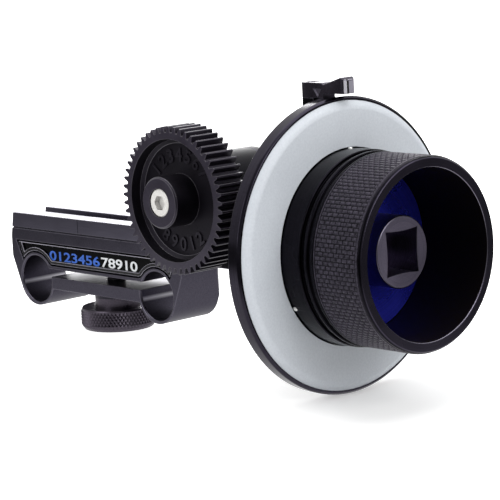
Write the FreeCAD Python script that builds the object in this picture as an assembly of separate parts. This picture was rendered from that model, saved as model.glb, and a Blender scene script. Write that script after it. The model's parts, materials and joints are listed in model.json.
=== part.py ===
import FreeCAD, Part
import math
import os
from FreeCAD import Vector

# Follow focus unit for two camera support rods, in millimetres.
# The origin is midway between the rod axes, in the upright plane of the handwheel axis.
# +X is the handwheel axis, pointing out of its cup. The rods and the drive gear lie along Y,
# and the drive gear faces -Y. +Z is up.

# ---- Rods and rod clamp ----
rod_diameter = 15.0
rod_spacing = 60.0
rod_clearance = 0.05          # radial, with the clamp open
clamp_depth = 18.4
clamp_middle = -0.8           # the clamp's mid-depth along the rods
clamp_top = 21.3
clamp_half_width = 42.2
clamp_top_lean = 1.5          # how far each flank leans in up to the top
shoulder_z = 13.4             # the flanks are upright below this height
waist_z = 6.8                 # and above this one
rail_height = 5.0             # rail band above the scribed line
scribe_width = 0.4
scribe_depth = 0.4
rear_chamfer = 3.5
ring_wall = 1.15              # metal left below each rod
bar_thickness = 4.0           # flexing bar under the slot
slot_height = 2.6
slot_middle_z = 2.6
edge_break = 0.5

# ---- Name-plate pocket in the clamp's front ----
pocket_depth = 3.0
pocket_top = 12.3
pocket_end_gap = 2.4          # from the widest flank to the pocket's end
pocket_end_angle = 40.0       # where the pocket meets the ring over a rod
web_thickness = 1.0           # metal between the slot and the pocket
wave_fillet = 2.6
bezel_gap = 0.55
bezel_lip = 1.1               # along the wave
bezel_top_lip = 0.3
bezel_sink = 0.25
label_recess = 1.0
label_thickness = 0.4
label_gap = 0.1

# ---- Rail slot along the top ----
rail_mouth = 7.2
rail_room_width = 12.0
rail_lip = 2.6
rail_room_height = 3.2

# ---- Clamp screw ----
stud_radius = 2.95
thread_clearance = 0.05
washer_clearance = 0.3
stud_end_gap = 2.6            # stud end to the floor of the rail slot
insert_wall = 1.2
insert_sink = 0.3
insert_overrun = 1.0          # insert beyond the stud's end
washer_thickness = 1.2
boss_radius = 7.25
boss_height = 3.2
knob_radius = 12.1
knob_height = 6.8
knob_bevel = 0.9
knob_top_bevel = 0.45
cap_thickness = 0.8           # knob metal over a stud's end
seat_gap = 0.05

# ---- Bridge foot and its lock ----
foot_length = 23.6
foot_thickness = 5.0
foot_side_gap = 1.6           # the foot is narrower than the gearbox on each side
upright_thickness = 6.0
nut_length = 20.0
nut_side_clearance = 0.1
nut_height_clearance = 0.15
lock_stud_radius = 2.5
lock_offset = 8.5             # from the foot's free end
lock_washer_radius = 4.8
lock_washer_thickness = 0.8
lock_knob_radius = 5.4
lock_knob_height = 7.0
lock_knob_neck = 1.0
lock_knob_bevel = 0.6
screw_clearance = 0.1
screw_land = 0.8              # metal left beside a screw head

# ---- Gearbox ----
bridge_gap = 1.4              # between the clamp's flank and the housing
housing_half_width = 12.4
housing_half_depth = 10.0
housing_wall = 3.4
housing_floor = 1.7
housing_chamfer = 2.0
cavity_chamfer = 1.0
blind_wall = 0.8              # left behind the blind bush
wheel_drop = 0.8              # handwheel axis below the clamp's top
normal_module = 0.6
pinion_teeth = 15
pinion_width = 7.0
pinion_sections = 7
pinion_backlash = 0.16
axis_spread = 0.12            # added to the pinions' centre distance
pinion_room = 0.35
cover_thickness = 3.0
cover_screw_radius = 0.8
cover_screw_head = 1.5
cover_screw_head_height = 1.2
cover_screw_length = 4.8
bridge_screw_radius = 1.5
bridge_screw_head = 2.75
bridge_screw_head_height = 3.0
bridge_screw_tip_wall = 0.9
bush_wall = 2.0
bush_length = 6.0             # of the two bushes in the neck
bush_flange = 1.4
bush_flange_thickness = 0.8
running_clearance = 0.03

# ---- Neck ----
neck_length = 27.1
neck_radius = 8.6
neck_collar_radius = 9.0
neck_collar_length = 2.6
neck_spigot_radius = 6.8

# ---- Shafts ----
output_shaft_radius = 3.0
shoulder_radius = 4.2
wheel_shaft_radius = 4.0
journal_radius = 3.0
end_float = 0.3
clip_thickness = 0.8
clip_width = 2.3

# ---- Screws and teeth in general ----
hex_key = 2.5
small_hex_key = 1.3
head_bevel = 0.3
socket_share = 0.55           # depth of a hex socket as a share of its screw head's height
pressure_angle = 20.0
dedendum_share = 1.25         # of the module

# ---- Drive gear ----
gear_module = 0.8
gear_teeth = 53
gear_backlash = 0.1
gear_width = 10.5
gear_gap = 3.5                # from the housing's front to the gear's back
gear_recess_radius = 17.75
gear_recess_depth = 4.0
gear_recess_slope = 1.0
gear_boss_radius = 7.7
gear_boss_height = 8.9        # above the recess floor
gear_rim_bevel = 0.5
gear_back_recess = 2.0
adapter_radius = 9.0
adapter_thickness = 1.5
adapter_collar_radius = 4.6
pin_radius = 1.0
pin_circle = 6.0
pin_depth = 4.0
pin_clearance = 0.1
gear_screw_head_radius = 4.15
gear_screw_head_height = 3.4
gear_screw_sink = 0.2
gear_screw_radius = 2.0
gear_screw_length = 8.0
gear_screw_key = 4.0
head_clearance = 0.12

# ---- Handwheel ----
carrier_gap = 4.2             # from the neck's end to the carrier's back
carrier_thickness = 4.7
carrier_radius = 42.9
carrier_bevel = 0.6
carrier_recess = 1.5
carrier_dish = 1.7
carrier_dish_slope = 1.0
carrier_rim_width = 5.0
carrier_land_width = 4.0      # round the hub, inside the dish
carrier_hub_radius = 11.0
marking_rim = 1.2             # carrier metal outside the marking ring
marking_proud = 1.7
marking_bevel = 1.8
marking_gap = 0.3
flange_radius = 28.2
flange_length = 10.2          # from the recess floor
groove_depth = 1.0            # below the flange, as are the next two
collar_step = 0.3
grip_step = 0.5
groove_width = 1.4
groove_bevel = 0.25
collar_width = 1.2
band_width = 0.8
grip_thickness = 1.5
grip_length = 16.8
grip_bevel = 0.4
lip_step = 0.2                # below the grip
lip_length = 1.0
lip_bevel = 0.6
cup_wall = 1.9                # under the grip
cup_mouth_bevel = 0.3
cup_base = 6.7
floor_thickness = 1.5
floor_gap = 0.1
hub_radius = 10.35
hub_bevel = 0.3
hub_proud = 14.4              # above the cup's floor disc
drive_bow = 0.45              # each side of the socket bows inwards
drive_corner_radius = 9.05
drive_depth = 12.5
hub_screw_radius = 2.0
hub_screw_head = 3.5
hub_screw_head_height = 3.0
hub_screw_length = 14.0
carrier_screws_count = 3
carrier_screw_phase = 60.0
carrier_screw_radius = 1.5
carrier_screw_head = 2.75
carrier_screw_circle = 20.0
carrier_screw_length = 7.0
catch_pin_count = 3
catch_pin_radius = 0.7
catch_pin_length = 3.0
catch_pin_proud = 0.35
catch_pin_bevel = 0.25
catch_pin_gap = 0.05          # to the marking ring
wave_washer_width = 3.0
wave_washer_thickness = 0.8

# ---- Index pointer ----
index_ring_radius = 12.5
index_ring_length = 8.8
index_ring_gap = 0.2          # from the neck's end
index_clearance = 0.05
index_arm_width = 5.0
index_arm_thickness = 4.5
pointer_gap = 0.9             # above the carrier's rim
pointer_height = 3.0
pointer_rise = 1.7
pointer_notch = 8.7           # from the pointer's back to the notch in its top
pointer_notch_run = 0.8
pointer_notch_depth = 0.5
pointer_peak = 15.6
pointer_length = 17.0
pointer_nose_drop = 0.9
pointer_nose_fillet = 1.5
pointer_skirt = 1.4           # how far it reaches down behind the carrier
pointer_skirt_gap = 0.5       # to the carrier's back
mark_length = 3.2
mark_top_gap = 1.7
mark_height = 2.2
mark_depth = 0.35
pointer_screw_radius = 1.0
pointer_screw_head = 1.9
pointer_screw_head_height = 1.2
pointer_screw_sink = 1.4
pointer_screw_depth = 5.0
index_screw_radius = 1.5
index_screw_gap = 0.2         # to the neck, with the index free to turn
index_screw_proud = 0.2

# ---- Worked out from the values above ----
bore_radius = rod_diameter / 2 + rod_clearance
ring_radius = bore_radius + ring_wall
half_spacing = rod_spacing / 2
clamp_front = clamp_middle - clamp_depth / 2
clamp_back = clamp_middle + clamp_depth / 2
slot_bottom = slot_middle_z - slot_height / 2
slot_top = slot_middle_z + slot_height / 2
bar_bottom = slot_bottom - bar_thickness
rail_floor = clamp_top - rail_lip - rail_room_height
scribe_z = clamp_top - rail_height
clamp_top_half_width = clamp_half_width - clamp_top_lean
lean = clamp_top_lean / (clamp_top - shoulder_z)
scribe_half_width = clamp_half_width - lean * (scribe_z - shoulder_z)
stud_top = rail_floor - stud_end_gap
insert_radius = stud_radius + thread_clearance + insert_wall
insert_top = stud_top + insert_overrun
washer_top = bar_bottom - seat_gap
boss_top = washer_top - washer_thickness
knob_top = boss_top - boss_height
knob_bottom = knob_top - knob_height
stud_bottom = knob_bottom + cap_thickness
screw_axis = Vector(0, clamp_middle, 0)

gearbox_x = clamp_half_width + bridge_gap + housing_half_width
housing_left = gearbox_x - housing_half_width
housing_right = gearbox_x + housing_half_width
housing_front = -housing_half_depth
housing_back = housing_half_depth
helix = math.radians(45)
pitch_radius = normal_module * pinion_teeth / (2 * math.cos(helix))
tip_radius = pitch_radius + normal_module
wheel_z = clamp_top - wheel_drop
gear_z = wheel_z + 2 * pitch_radius + axis_spread
cavity_bottom = wheel_z - tip_radius - pinion_room
housing_bottom = cavity_bottom - housing_floor
cavity_back = housing_back - cover_thickness
cavity_front = housing_front + cover_thickness
cover_screw_tip = housing_back - cover_screw_length
output_bush_radius = output_shaft_radius + running_clearance + bush_wall
journal_bush_radius = journal_radius + running_clearance + bush_wall
wheel_bush_radius = wheel_shaft_radius + running_clearance + bush_wall
blind_bush_end = housing_left + blind_wall
neck_seat = housing_right - housing_wall
wheel = Vector(0, 0, wheel_z)
output = Vector(gearbox_x, 0, gear_z)

foot_bottom = clamp_top + seat_gap
foot_top = foot_bottom + foot_thickness
foot_left = housing_left - foot_length
foot_half_width = housing_half_depth - foot_side_gap
upright_left = housing_left - upright_thickness
lock_x = foot_left + lock_offset
lock_axis = Vector(lock_x, 0, 0)
lock_washer_bottom = foot_top + seat_gap
lock_knob_base = lock_washer_bottom + lock_washer_thickness
lock_knob_top = lock_knob_base + lock_knob_height
lock_stud_top = lock_knob_top - cap_thickness
nut_bottom = rail_floor + nut_height_clearance
nut_shoulder = rail_floor + rail_room_height - nut_height_clearance
bridge_screw_y = foot_half_width - bridge_screw_head - screw_land
bridge_screw_low = foot_top + bridge_screw_head + screw_land
bridge_screw_high = bridge_screw_low + 2 * bridge_screw_head + screw_land
bridge_screw_tip = housing_left + housing_wall - bridge_screw_tip_wall
upright_top = bridge_screw_high + bridge_screw_head + screw_land

neck_end = housing_right + neck_length
carrier_back = neck_end + carrier_gap
carrier_hub_back = neck_end + end_float + wave_washer_thickness
carrier_front = carrier_back + carrier_thickness
carrier_screw_seat = carrier_back + carrier_dish
carrier_screw_tip = carrier_screw_seat + carrier_screw_length
ring_seat = carrier_front - carrier_recess
marking_radius = carrier_radius - marking_rim
marking_front = carrier_front + marking_proud
marking_bore = flange_radius + marking_gap
groove_radius = flange_radius - groove_depth
collar_radius = flange_radius - collar_step
grip_radius = flange_radius - grip_step
lip_radius = grip_radius - lip_step
seat_radius = grip_radius - grip_thickness
cup_radius = seat_radius - cup_wall
flange_front = ring_seat + flange_length
collar_back = flange_front + groove_width
collar_front = collar_back + collar_width
band_back = collar_front + groove_width
grip_back = band_back + band_width
grip_front = grip_back + grip_length
rim_front = grip_front + lip_length
cup_floor = ring_seat + cup_base
floor_disc_front = cup_floor + floor_thickness
hub_front = floor_disc_front + hub_proud
drive_floor = hub_front - drive_depth
hub_screw_tip = drive_floor - hub_screw_length

gear_back = housing_front - gear_gap
gear_front = gear_back - gear_width
recess_floor = gear_front + gear_recess_depth
gear_boss_front = recess_floor - gear_boss_height
gear_screw_seat = gear_boss_front + gear_screw_sink + gear_screw_head_height
gear_screw_tip = gear_screw_seat + gear_screw_length
adapter_back = gear_back + adapter_thickness
adapter_collar_back = housing_front - bush_flange_thickness - end_float

pointer_bottom = wheel_z + carrier_radius + pointer_gap
pointer_top = pointer_bottom + pointer_height
skirt_bottom = pointer_bottom - pointer_skirt
skirt_right = carrier_back - pointer_skirt_gap
index_right = neck_end - index_ring_gap
index_left = index_right - index_ring_length
index_bore = neck_radius + index_clearance
arm_left = index_right - index_arm_thickness
arm_middle = Vector((arm_left + index_right) / 2, 0, 0)
index_screw_at = Vector((index_left + index_right) / 2, 0, 0)


# ---- Helpers ----
def orient(shape, axis, at):
    # turns a shape made along local X onto another axis, and moves it there
    if axis == "Y":
        shape.rotate(Vector(0, 0, 0), Vector(0, 0, 1), 90)
    if axis == "Z":
        shape.rotate(Vector(0, 0, 0), Vector(0, 1, 0), -90)
    shape.translate(at)
    return shape


def turned(axis, at, outline):
    # outline: (station along the axis, radius) pairs round one half-section
    points = [Vector(station, 0, radius) for station, radius in outline]
    face = Part.Face(Part.makePolygon(points + points[:1]))
    return orient(face.revolve(Vector(0, 0, 0), Vector(1, 0, 0), 360), axis, at)


def rod(axis, at, start, end, radius):
    return turned(axis, at, [(start, 0), (start, radius), (end, radius), (end, 0)])


def tube(axis, at, start, end, outer, inner):
    return turned(axis, at, [(start, inner), (start, outer), (end, outer), (end, inner)])


def block(x0, x1, y0, y1, z0, z1):
    return Part.makeBox(x1 - x0, y1 - y0, z1 - z0, Vector(x0, y0, z0))


def wire(start, moves):
    # start and line ends are points; an arc is a (middle, end) pair of points
    edges = []
    here = start
    for move in moves:
        if isinstance(move, tuple):
            edges.append(Part.Arc(here, move[0], move[1]).toShape())
            here = move[1]
        else:
            edges.append(Part.LineSegment(here, move).toShape())
            here = move
    return Part.Wire(edges)


def prism(outline, along):
    return Part.Face(outline).extrude(along)


def loop(points):
    return Part.makePolygon(points + points[:1])


def polar(centre, radius, angle):
    # a point round a centre in the XZ plane, the angle in radians from +X towards +Z
    return centre + Vector(radius * math.cos(angle), 0, radius * math.sin(angle))


def mirror_x(point):
    return Vector(-point.x, point.y, point.z)


def hexagon(axis, at, start, end, across_flats):
    radius = across_flats / math.sqrt(3)
    angles = [math.pi * index / 3 for index in range(6)]
    corners = [Vector(start, radius * math.cos(angle), radius * math.sin(angle)) for angle in angles]
    return orient(prism(loop(corners), Vector(end - start, 0, 0)), axis, at)


def cap_screw(axis, at, seat, tip, radius, head, height, key):
    # socket head on the far side of the seat from the tip
    side = -1 if tip > seat else 1
    top = seat + side * height
    screw = turned(axis, at, [
        (tip, 0), (tip, radius), (seat, radius), (seat, head), (top - side * head_bevel, head),
        (top, head - head_bevel), (top, 0)])
    socket = hexagon(axis, at, top - side * height * socket_share, top + side, key)
    return screw.cut(socket)


def involute_angle(radius, base):
    cosine = min(1.0, base / radius)
    return math.tan(math.acos(cosine)) - math.acos(cosine)


def tooth_flank(teeth, pitch, module, pressure, backlash):
    # one side of a tooth, as (radius, half angle) pairs from root to tip
    base = pitch * math.cos(pressure)
    root = pitch - dedendum_share * module
    tip = pitch + module
    at_pitch = math.pi / (2 * teeth) - backlash / (2 * pitch) + involute_angle(pitch, base)
    radii = [max(base, root), pitch, (pitch + tip) / 2, tip]
    flank = [(radius, at_pitch - involute_angle(radius, base)) for radius in radii]
    if base > root:
        flank.insert(0, (root, flank[0][1]))
    return flank


def gear_points(teeth, flank, station, turn):
    # the corners of a gear's outline; a tooth stands at +Z when turn is zero
    sides = [(radius, -angle) for radius, angle in flank]
    sides += [(radius, angle) for radius, angle in reversed(flank)]
    points = []
    for index in range(teeth):
        centre = math.pi / 2 + turn + 2 * math.pi * index / teeth
        points += [Vector(station, radius * math.cos(centre + angle), radius * math.sin(centre + angle))
                   for radius, angle in sides]
    return points


def helical_pinion(axis, middle, bore):
    # right-hand helix at 45 degrees: two of these mesh with their axes crossed at a right angle
    pressure = math.atan(math.tan(math.radians(pressure_angle)) / math.cos(helix))
    flank = tooth_flank(pinion_teeth, pitch_radius, normal_module, pressure, pinion_backlash)
    rows = []
    for index in range(pinion_sections):
        station = pinion_width * (index / (pinion_sections - 1) - 0.5)
        rows.append(gear_points(pinion_teeth, flank, station, station / pitch_radius))
    lines = [Part.BSplineCurve() for corner in rows[0]]
    for index, line in enumerate(lines):
        line.interpolate([row[index] for row in rows])
    edges = [line.toShape() for line in lines]
    faces = [Part.makeRuledSurface(one, other) for one, other in zip(edges, edges[1:] + edges[:1])]
    faces += [Part.Face(loop(rows[0])), Part.Face(loop(rows[-1]))]
    shell = Part.Shell(faces)
    shell.sewShape()
    pinion = orient(Part.Solid(shell), axis, middle)
    return pinion.cut(rod(axis, middle, -pinion_width, pinion_width, bore))


# ---- Rod clamp ----
def clamp_outline():
    centre = Vector(half_spacing, 0, 0)
    shoulder = Vector(clamp_half_width, 0, shoulder_z)
    waist = Vector(clamp_half_width, 0, waist_z)
    corner = Vector(clamp_top_half_width, 0, clamp_top)
    reach = waist - centre
    touch = math.atan2(reach.z, reach.x) - math.acos(ring_radius / reach.Length)
    flank_end = polar(centre, ring_radius, touch)
    ring_bottom = polar(centre, ring_radius, -math.pi / 2)
    bar_end = polar(centre, ring_radius, math.pi - math.asin(bar_bottom / ring_radius))
    return wire(mirror_x(corner), [
        corner, shoulder, waist, flank_end, (ring_bottom, bar_end), mirror_x(bar_end),
        (mirror_x(ring_bottom), mirror_x(flank_end)), mirror_x(waist), mirror_x(shoulder), mirror_x(corner)])


def wave_outline(inset, top_inset):
    # pocket outline: flat top, slanted ends, and a lower edge that rises over each rod
    centre = Vector(half_spacing, 0, 0)
    floor = slot_top + web_thickness
    top = Vector(clamp_half_width - pocket_end_gap, 0, pocket_top + inset - top_inset)
    run = math.sqrt((ring_radius + wave_fillet) ** 2 - (floor + wave_fillet) ** 2)
    hollow = Vector(half_spacing - run, 0, floor + wave_fillet)
    meet = math.atan2(hollow.z, -run)
    end = math.radians(pocket_end_angle)
    low = -math.pi / 2
    arch_end = polar(centre, ring_radius, end)
    arch_top = polar(centre, ring_radius, (end + meet) / 2)
    arch_meet = polar(centre, ring_radius, meet)
    fillet_middle = polar(hollow, wave_fillet, (meet - math.pi + low) / 2)
    fillet_end = polar(hollow, wave_fillet, low)
    outline = wire(mirror_x(top), [
        top, arch_end, (arch_top, arch_meet), (fillet_middle, fillet_end), mirror_x(fillet_end),
        (mirror_x(fillet_middle), mirror_x(arch_meet)), (mirror_x(arch_top), mirror_x(arch_end)),
        mirror_x(top)])
    return outline.makeOffset2D(-inset, join=2) if inset else outline


def front_prism(outline, start, end):
    # a prism between two depths behind the clamp's front face
    solid = prism(outline, Vector(0, end - start, 0))
    solid.translate(Vector(0, clamp_front + start, 0))
    return solid


def rail_slot():
    ends = clamp_half_width + 1
    mouth = rail_mouth / 2
    room = rail_room_width / 2
    upper = block(-ends, ends, -mouth, mouth, rail_floor, clamp_top + 1)
    return upper.fuse(block(-ends, ends, -room, room, rail_floor, rail_floor + rail_room_height))


def corner_cut(side):
    corner = Vector(side * clamp_half_width, clamp_back, knob_bottom)
    across = Vector(side * rear_chamfer, 0, 0)
    along = Vector(0, rear_chamfer, 0)
    outline = loop([corner - across, corner + across + along, corner - along])
    return prism(outline, Vector(0, 0, clamp_top - knob_bottom + 1))


def scribed_line():
    half = scribe_width / 2
    ends = clamp_half_width + 1
    deep = scribe_half_width - scribe_depth
    slab = block(-ends, ends, clamp_front - 1, clamp_back + 1, scribe_z - half, scribe_z + half)
    return slab.cut(block(-deep, deep, clamp_front + scribe_depth, clamp_back - scribe_depth,
                          scribe_z - 1, scribe_z + 1))


def rod_bore(side):
    flare = bore_radius + 1 + edge_break
    return turned("Y", Vector(side * half_spacing, 0, 0), [
        (clamp_front - 1, 0), (clamp_front - 1, flare), (clamp_front + edge_break, bore_radius),
        (clamp_back - edge_break, bore_radius), (clamp_back + 1, flare), (clamp_back + 1, 0)])


def clamp_body():
    solid = prism(clamp_outline(), Vector(0, clamp_depth, 0))
    solid.translate(Vector(0, clamp_front, 0))
    for side in (-1, 1):
        solid = solid.cut(rod_bore(side)).cut(corner_cut(side))
    solid = solid.cut(block(-half_spacing, half_spacing, clamp_front, clamp_back, slot_bottom, slot_top))
    solid = solid.cut(front_prism(wave_outline(0, 0), 0, pocket_depth))
    solid = solid.cut(rail_slot()).cut(scribed_line())
    solid = solid.cut(rod("Z", screw_axis, bar_bottom - 1, slot_bottom + 1, stud_radius + washer_clearance))
    return solid.cut(rod("Z", screw_axis, slot_bottom, insert_top, insert_radius))


def badge_bezel():
    solid = front_prism(wave_outline(bezel_gap, bezel_gap), bezel_sink, pocket_depth)
    inside = wave_outline(bezel_gap + bezel_lip, bezel_gap + bezel_top_lip)
    return solid.cut(front_prism(inside, -1, bezel_sink + label_recess))


def badge_label():
    face = bezel_sink + label_recess
    inset = bezel_gap + bezel_lip + label_gap
    top_inset = bezel_gap + bezel_top_lip + label_gap
    return front_prism(wave_outline(inset, top_inset), face - label_thickness, face)


def screw_insert():
    return tube("Z", screw_axis, slot_top + insert_sink, insert_top, insert_radius,
                stud_radius + thread_clearance)


# ---- Clamp screw ----
def knob_washer():
    return tube("Z", screw_axis, boss_top, washer_top, boss_radius, stud_radius + washer_clearance)


def clamp_knob():
    return turned("Z", screw_axis, [
        (knob_bottom, 0), (knob_bottom, knob_radius - knob_bevel), (knob_bottom + knob_bevel, knob_radius),
        (knob_top - knob_top_bevel, knob_radius), (knob_top, knob_radius - knob_top_bevel),
        (knob_top, boss_radius), (boss_top, boss_radius), (boss_top, stud_radius),
        (stud_bottom, stud_radius), (stud_bottom, 0)])


def clamp_stud():
    return rod("Z", screw_axis, stud_bottom, stud_top, stud_radius)


# ---- Bridge and its lock ----
def bridge_screw_places():
    return [Vector(0, y, z) for y in (-bridge_screw_y, bridge_screw_y)
            for z in (bridge_screw_low, bridge_screw_high)]


def bridge_foot():
    side = -foot_half_width
    outline = loop([
        Vector(foot_left, side, foot_bottom), Vector(housing_left, side, foot_bottom),
        Vector(housing_left, side, upright_top), Vector(upright_left + edge_break, side, upright_top),
        Vector(upright_left, side, upright_top - edge_break), Vector(upright_left, side, foot_top),
        Vector(foot_left + edge_break, side, foot_top), Vector(foot_left, side, foot_top - edge_break)])
    solid = prism(outline, Vector(0, 2 * foot_half_width, 0))
    solid = solid.cut(rod("Z", lock_axis, foot_bottom - 1, foot_top + 1, lock_stud_radius + screw_clearance))
    for place in bridge_screw_places():
        solid = solid.cut(rod("X", place, upright_left - 1, housing_left + 1,
                              bridge_screw_radius + screw_clearance))
    return solid


def bridge_screws():
    return Part.makeCompound([
        cap_screw("X", place, upright_left, bridge_screw_tip, bridge_screw_radius, bridge_screw_head,
                  bridge_screw_head_height, hex_key) for place in bridge_screw_places()])


def rail_nut():
    half = nut_length / 2
    narrow = rail_mouth / 2 - nut_side_clearance
    wide = rail_room_width / 2 - nut_side_clearance
    top = clamp_top - nut_height_clearance
    solid = block(lock_x - half, lock_x + half, -wide, wide, nut_bottom, nut_shoulder)
    neck = block(lock_x - half, lock_x + half, -narrow, narrow, nut_bottom, top)
    solid = solid.fuse(neck).removeSplitter()
    return solid.cut(rod("Z", lock_axis, nut_bottom - 1, top + 1, lock_stud_radius))


def lock_washer():
    return tube("Z", lock_axis, lock_washer_bottom, lock_knob_base, lock_washer_radius,
                lock_stud_radius + washer_clearance)


def lock_knob():
    shoulder = lock_knob_base + lock_knob_neck
    narrow = lock_washer_radius - edge_break
    stud = lock_stud_radius - running_clearance
    return turned("Z", lock_axis, [
        (lock_knob_base, stud), (lock_knob_base, narrow), (shoulder, narrow), (shoulder, lock_knob_radius),
        (lock_knob_top - lock_knob_bevel, lock_knob_radius),
        (lock_knob_top, lock_knob_radius - lock_knob_bevel), (lock_knob_top, 0), (lock_stud_top, 0),
        (lock_stud_top, stud)])


def lock_stud():
    return rod("Z", lock_axis, nut_bottom, lock_stud_top, lock_stud_radius - running_clearance)


# ---- Gearbox ----
def housing_outline(inset, bottom, chamfer):
    half = housing_half_width - inset
    left = gearbox_x - half
    right = gearbox_x + half
    crown = Vector(gearbox_x, 0, gear_z + half)
    return wire(Vector(left, 0, gear_z), [
        (crown, Vector(right, 0, gear_z)), Vector(right, 0, bottom + chamfer),
        Vector(right - chamfer, 0, bottom), Vector(left + chamfer, 0, bottom),
        Vector(left, 0, bottom + chamfer), Vector(left, 0, gear_z)])


def housing_prism(inset, bottom, chamfer, start, end):
    solid = prism(housing_outline(inset, bottom, chamfer), Vector(0, end - start, 0))
    solid.translate(Vector(0, start, 0))
    return solid


def cover_screw_places():
    inset = housing_wall / 2
    low = housing_bottom + housing_chamfer + inset / 2
    return [Vector(x, 0, z) for x in (housing_left + inset, housing_right - inset) for z in (low, gear_z)]


def gearbox_housing():
    solid = housing_prism(0, housing_bottom, housing_chamfer, housing_front, cavity_back)
    solid = solid.cut(housing_prism(housing_wall, cavity_bottom, cavity_chamfer, cavity_front, housing_back))
    solid = solid.cut(rod("Y", output, housing_front - 1, cavity_front + 1, output_bush_radius))
    solid = solid.cut(rod("X", wheel, blind_bush_end, gearbox_x, journal_bush_radius))
    solid = solid.cut(rod("X", wheel, neck_seat - 1, housing_right + 1, neck_spigot_radius))
    for place in bridge_screw_places():
        solid = solid.cut(rod("X", place, housing_left - 1, bridge_screw_tip, bridge_screw_radius))
    for place in cover_screw_places():
        solid = solid.cut(rod("Y", place, cover_screw_tip, housing_back, cover_screw_radius))
    return solid


def gearbox_cover():
    solid = housing_prism(0, housing_bottom, housing_chamfer, cavity_back, housing_back)
    solid = solid.cut(rod("Y", output, cavity_back - 1, housing_back + 1, output_bush_radius))
    for place in cover_screw_places():
        solid = solid.cut(rod("Y", place, cavity_back - 1, housing_back + 1,
                              cover_screw_radius + screw_clearance))
    return solid


def cover_screws():
    return Part.makeCompound([
        cap_screw("Y", place, housing_back, cover_screw_tip, cover_screw_radius, cover_screw_head,
                  cover_screw_head_height, small_hex_key) for place in cover_screw_places()])


def output_front_bush():
    inner = output_shaft_radius + running_clearance
    flange = output_bush_radius + bush_flange
    lip = housing_front - bush_flange_thickness
    return turned("Y", output, [
        (cavity_front, inner), (cavity_front, output_bush_radius), (housing_front, output_bush_radius),
        (housing_front, flange), (lip, flange), (lip, inner)])


def output_rear_bush():
    return tube("Y", output, cavity_back, housing_back, output_bush_radius,
                output_shaft_radius + running_clearance)


def wheel_left_bush():
    return tube("X", wheel, blind_bush_end, housing_left + housing_wall, journal_bush_radius,
                journal_radius + running_clearance)


def wheel_inner_bush():
    return tube("X", wheel, neck_seat, neck_seat + bush_length, wheel_bush_radius,
                wheel_shaft_radius + running_clearance)


def wheel_outer_bush():
    return tube("X", wheel, neck_end - bush_length, neck_end, wheel_bush_radius,
                wheel_shaft_radius + running_clearance)


def neck():
    collar = housing_right + neck_collar_length
    return turned("X", wheel, [
        (neck_seat, wheel_bush_radius), (neck_seat, neck_spigot_radius), (housing_right, neck_spigot_radius),
        (housing_right, neck_collar_radius), (collar, neck_collar_radius), (collar, neck_radius),
        (neck_end - edge_break, neck_radius), (neck_end, neck_radius - edge_break),
        (neck_end, wheel_bush_radius)])


# ---- Index pointer ----
def index_arm():
    solid = tube("X", wheel, index_left, index_right, index_ring_radius, index_bore)
    half = index_arm_width / 2
    inside_ring = wheel_z + (index_bore + index_ring_radius) / 2
    bar = block(arm_left, index_right, -half, half, inside_ring, skirt_bottom)
    solid = solid.fuse(bar).removeSplitter()
    solid = solid.cut(rod("Z", arm_middle, skirt_bottom - pointer_screw_depth, skirt_bottom + 1,
                          pointer_screw_radius))
    return solid.cut(rod("Z", index_screw_at, wheel_z - index_ring_radius - 1, wheel_z - neck_radius,
                         index_screw_radius))


def index_pointer():
    half = index_arm_width / 2
    notch = arm_left + pointer_notch
    peak_z = pointer_top + pointer_rise
    nose = arm_left + pointer_length
    solid = prism(loop([
        Vector(arm_left, -half, skirt_bottom), Vector(arm_left, -half, pointer_top),
        Vector(notch - pointer_notch_run, -half, pointer_top),
        Vector(notch, -half, pointer_top - pointer_notch_depth),
        Vector(arm_left + pointer_peak, -half, peak_z),
        Vector(nose, -half, peak_z - pointer_nose_drop), Vector(nose, -half, pointer_bottom),
        Vector(skirt_right, -half, pointer_bottom), Vector(skirt_right, -half, skirt_bottom)]),
        Vector(0, index_arm_width, 0))
    mark_right = notch - pointer_notch_run
    mark_z = pointer_top - mark_top_gap
    mark = loop([
        Vector(mark_right - mark_length, -half, mark_z), Vector(mark_right, -half, mark_z),
        Vector(mark_right - mark_length / 2, -half, mark_z - mark_height)])
    solid = solid.cut(prism(mark, Vector(0, mark_depth, 0)))
    nose_edges = [edge for edge in solid.Edges if edge.BoundBox.XMin > nose - mark_depth
                  and edge.BoundBox.YLength < mark_depth]
    solid = solid.makeFillet(pointer_nose_fillet, nose_edges)
    solid = solid.cut(rod("Z", arm_middle, pointer_top - pointer_screw_sink, pointer_top + 1,
                          pointer_screw_head + screw_clearance))
    return solid.cut(rod("Z", arm_middle, skirt_bottom - 1, pointer_top,
                         pointer_screw_radius + screw_clearance))


def pointer_screw():
    return cap_screw("Z", arm_middle, pointer_top - pointer_screw_sink, skirt_bottom - pointer_screw_depth,
                     pointer_screw_radius, pointer_screw_head, pointer_screw_head_height, small_hex_key)


def index_screw():
    low = wheel_z - index_ring_radius - index_screw_proud
    tip = wheel_z - neck_radius - index_screw_gap
    socket = hexagon("Z", index_screw_at, low - 1, low + index_screw_radius, small_hex_key)
    return rod("Z", index_screw_at, low, tip, index_screw_radius).cut(socket)


# ---- Handwheel ----
def wheel_shaft():
    shoulder = housing_left + housing_wall + end_float
    tapped = hub_screw_tip - end_float
    return turned("X", wheel, [
        (blind_bush_end + end_float, 0), (blind_bush_end + end_float, journal_radius),
        (shoulder, journal_radius), (shoulder, wheel_shaft_radius), (cup_floor, wheel_shaft_radius),
        (cup_floor, hub_screw_radius), (tapped, hub_screw_radius), (tapped, 0)])


def wheel_pinion():
    return helical_pinion("X", Vector(gearbox_x, 0, wheel_z), wheel_shaft_radius)


def shaft_clip():
    right = neck_seat - end_float
    outer = wheel_shaft_radius + clip_width
    return tube("X", wheel, right - clip_thickness, right, outer, wheel_shaft_radius)


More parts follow.
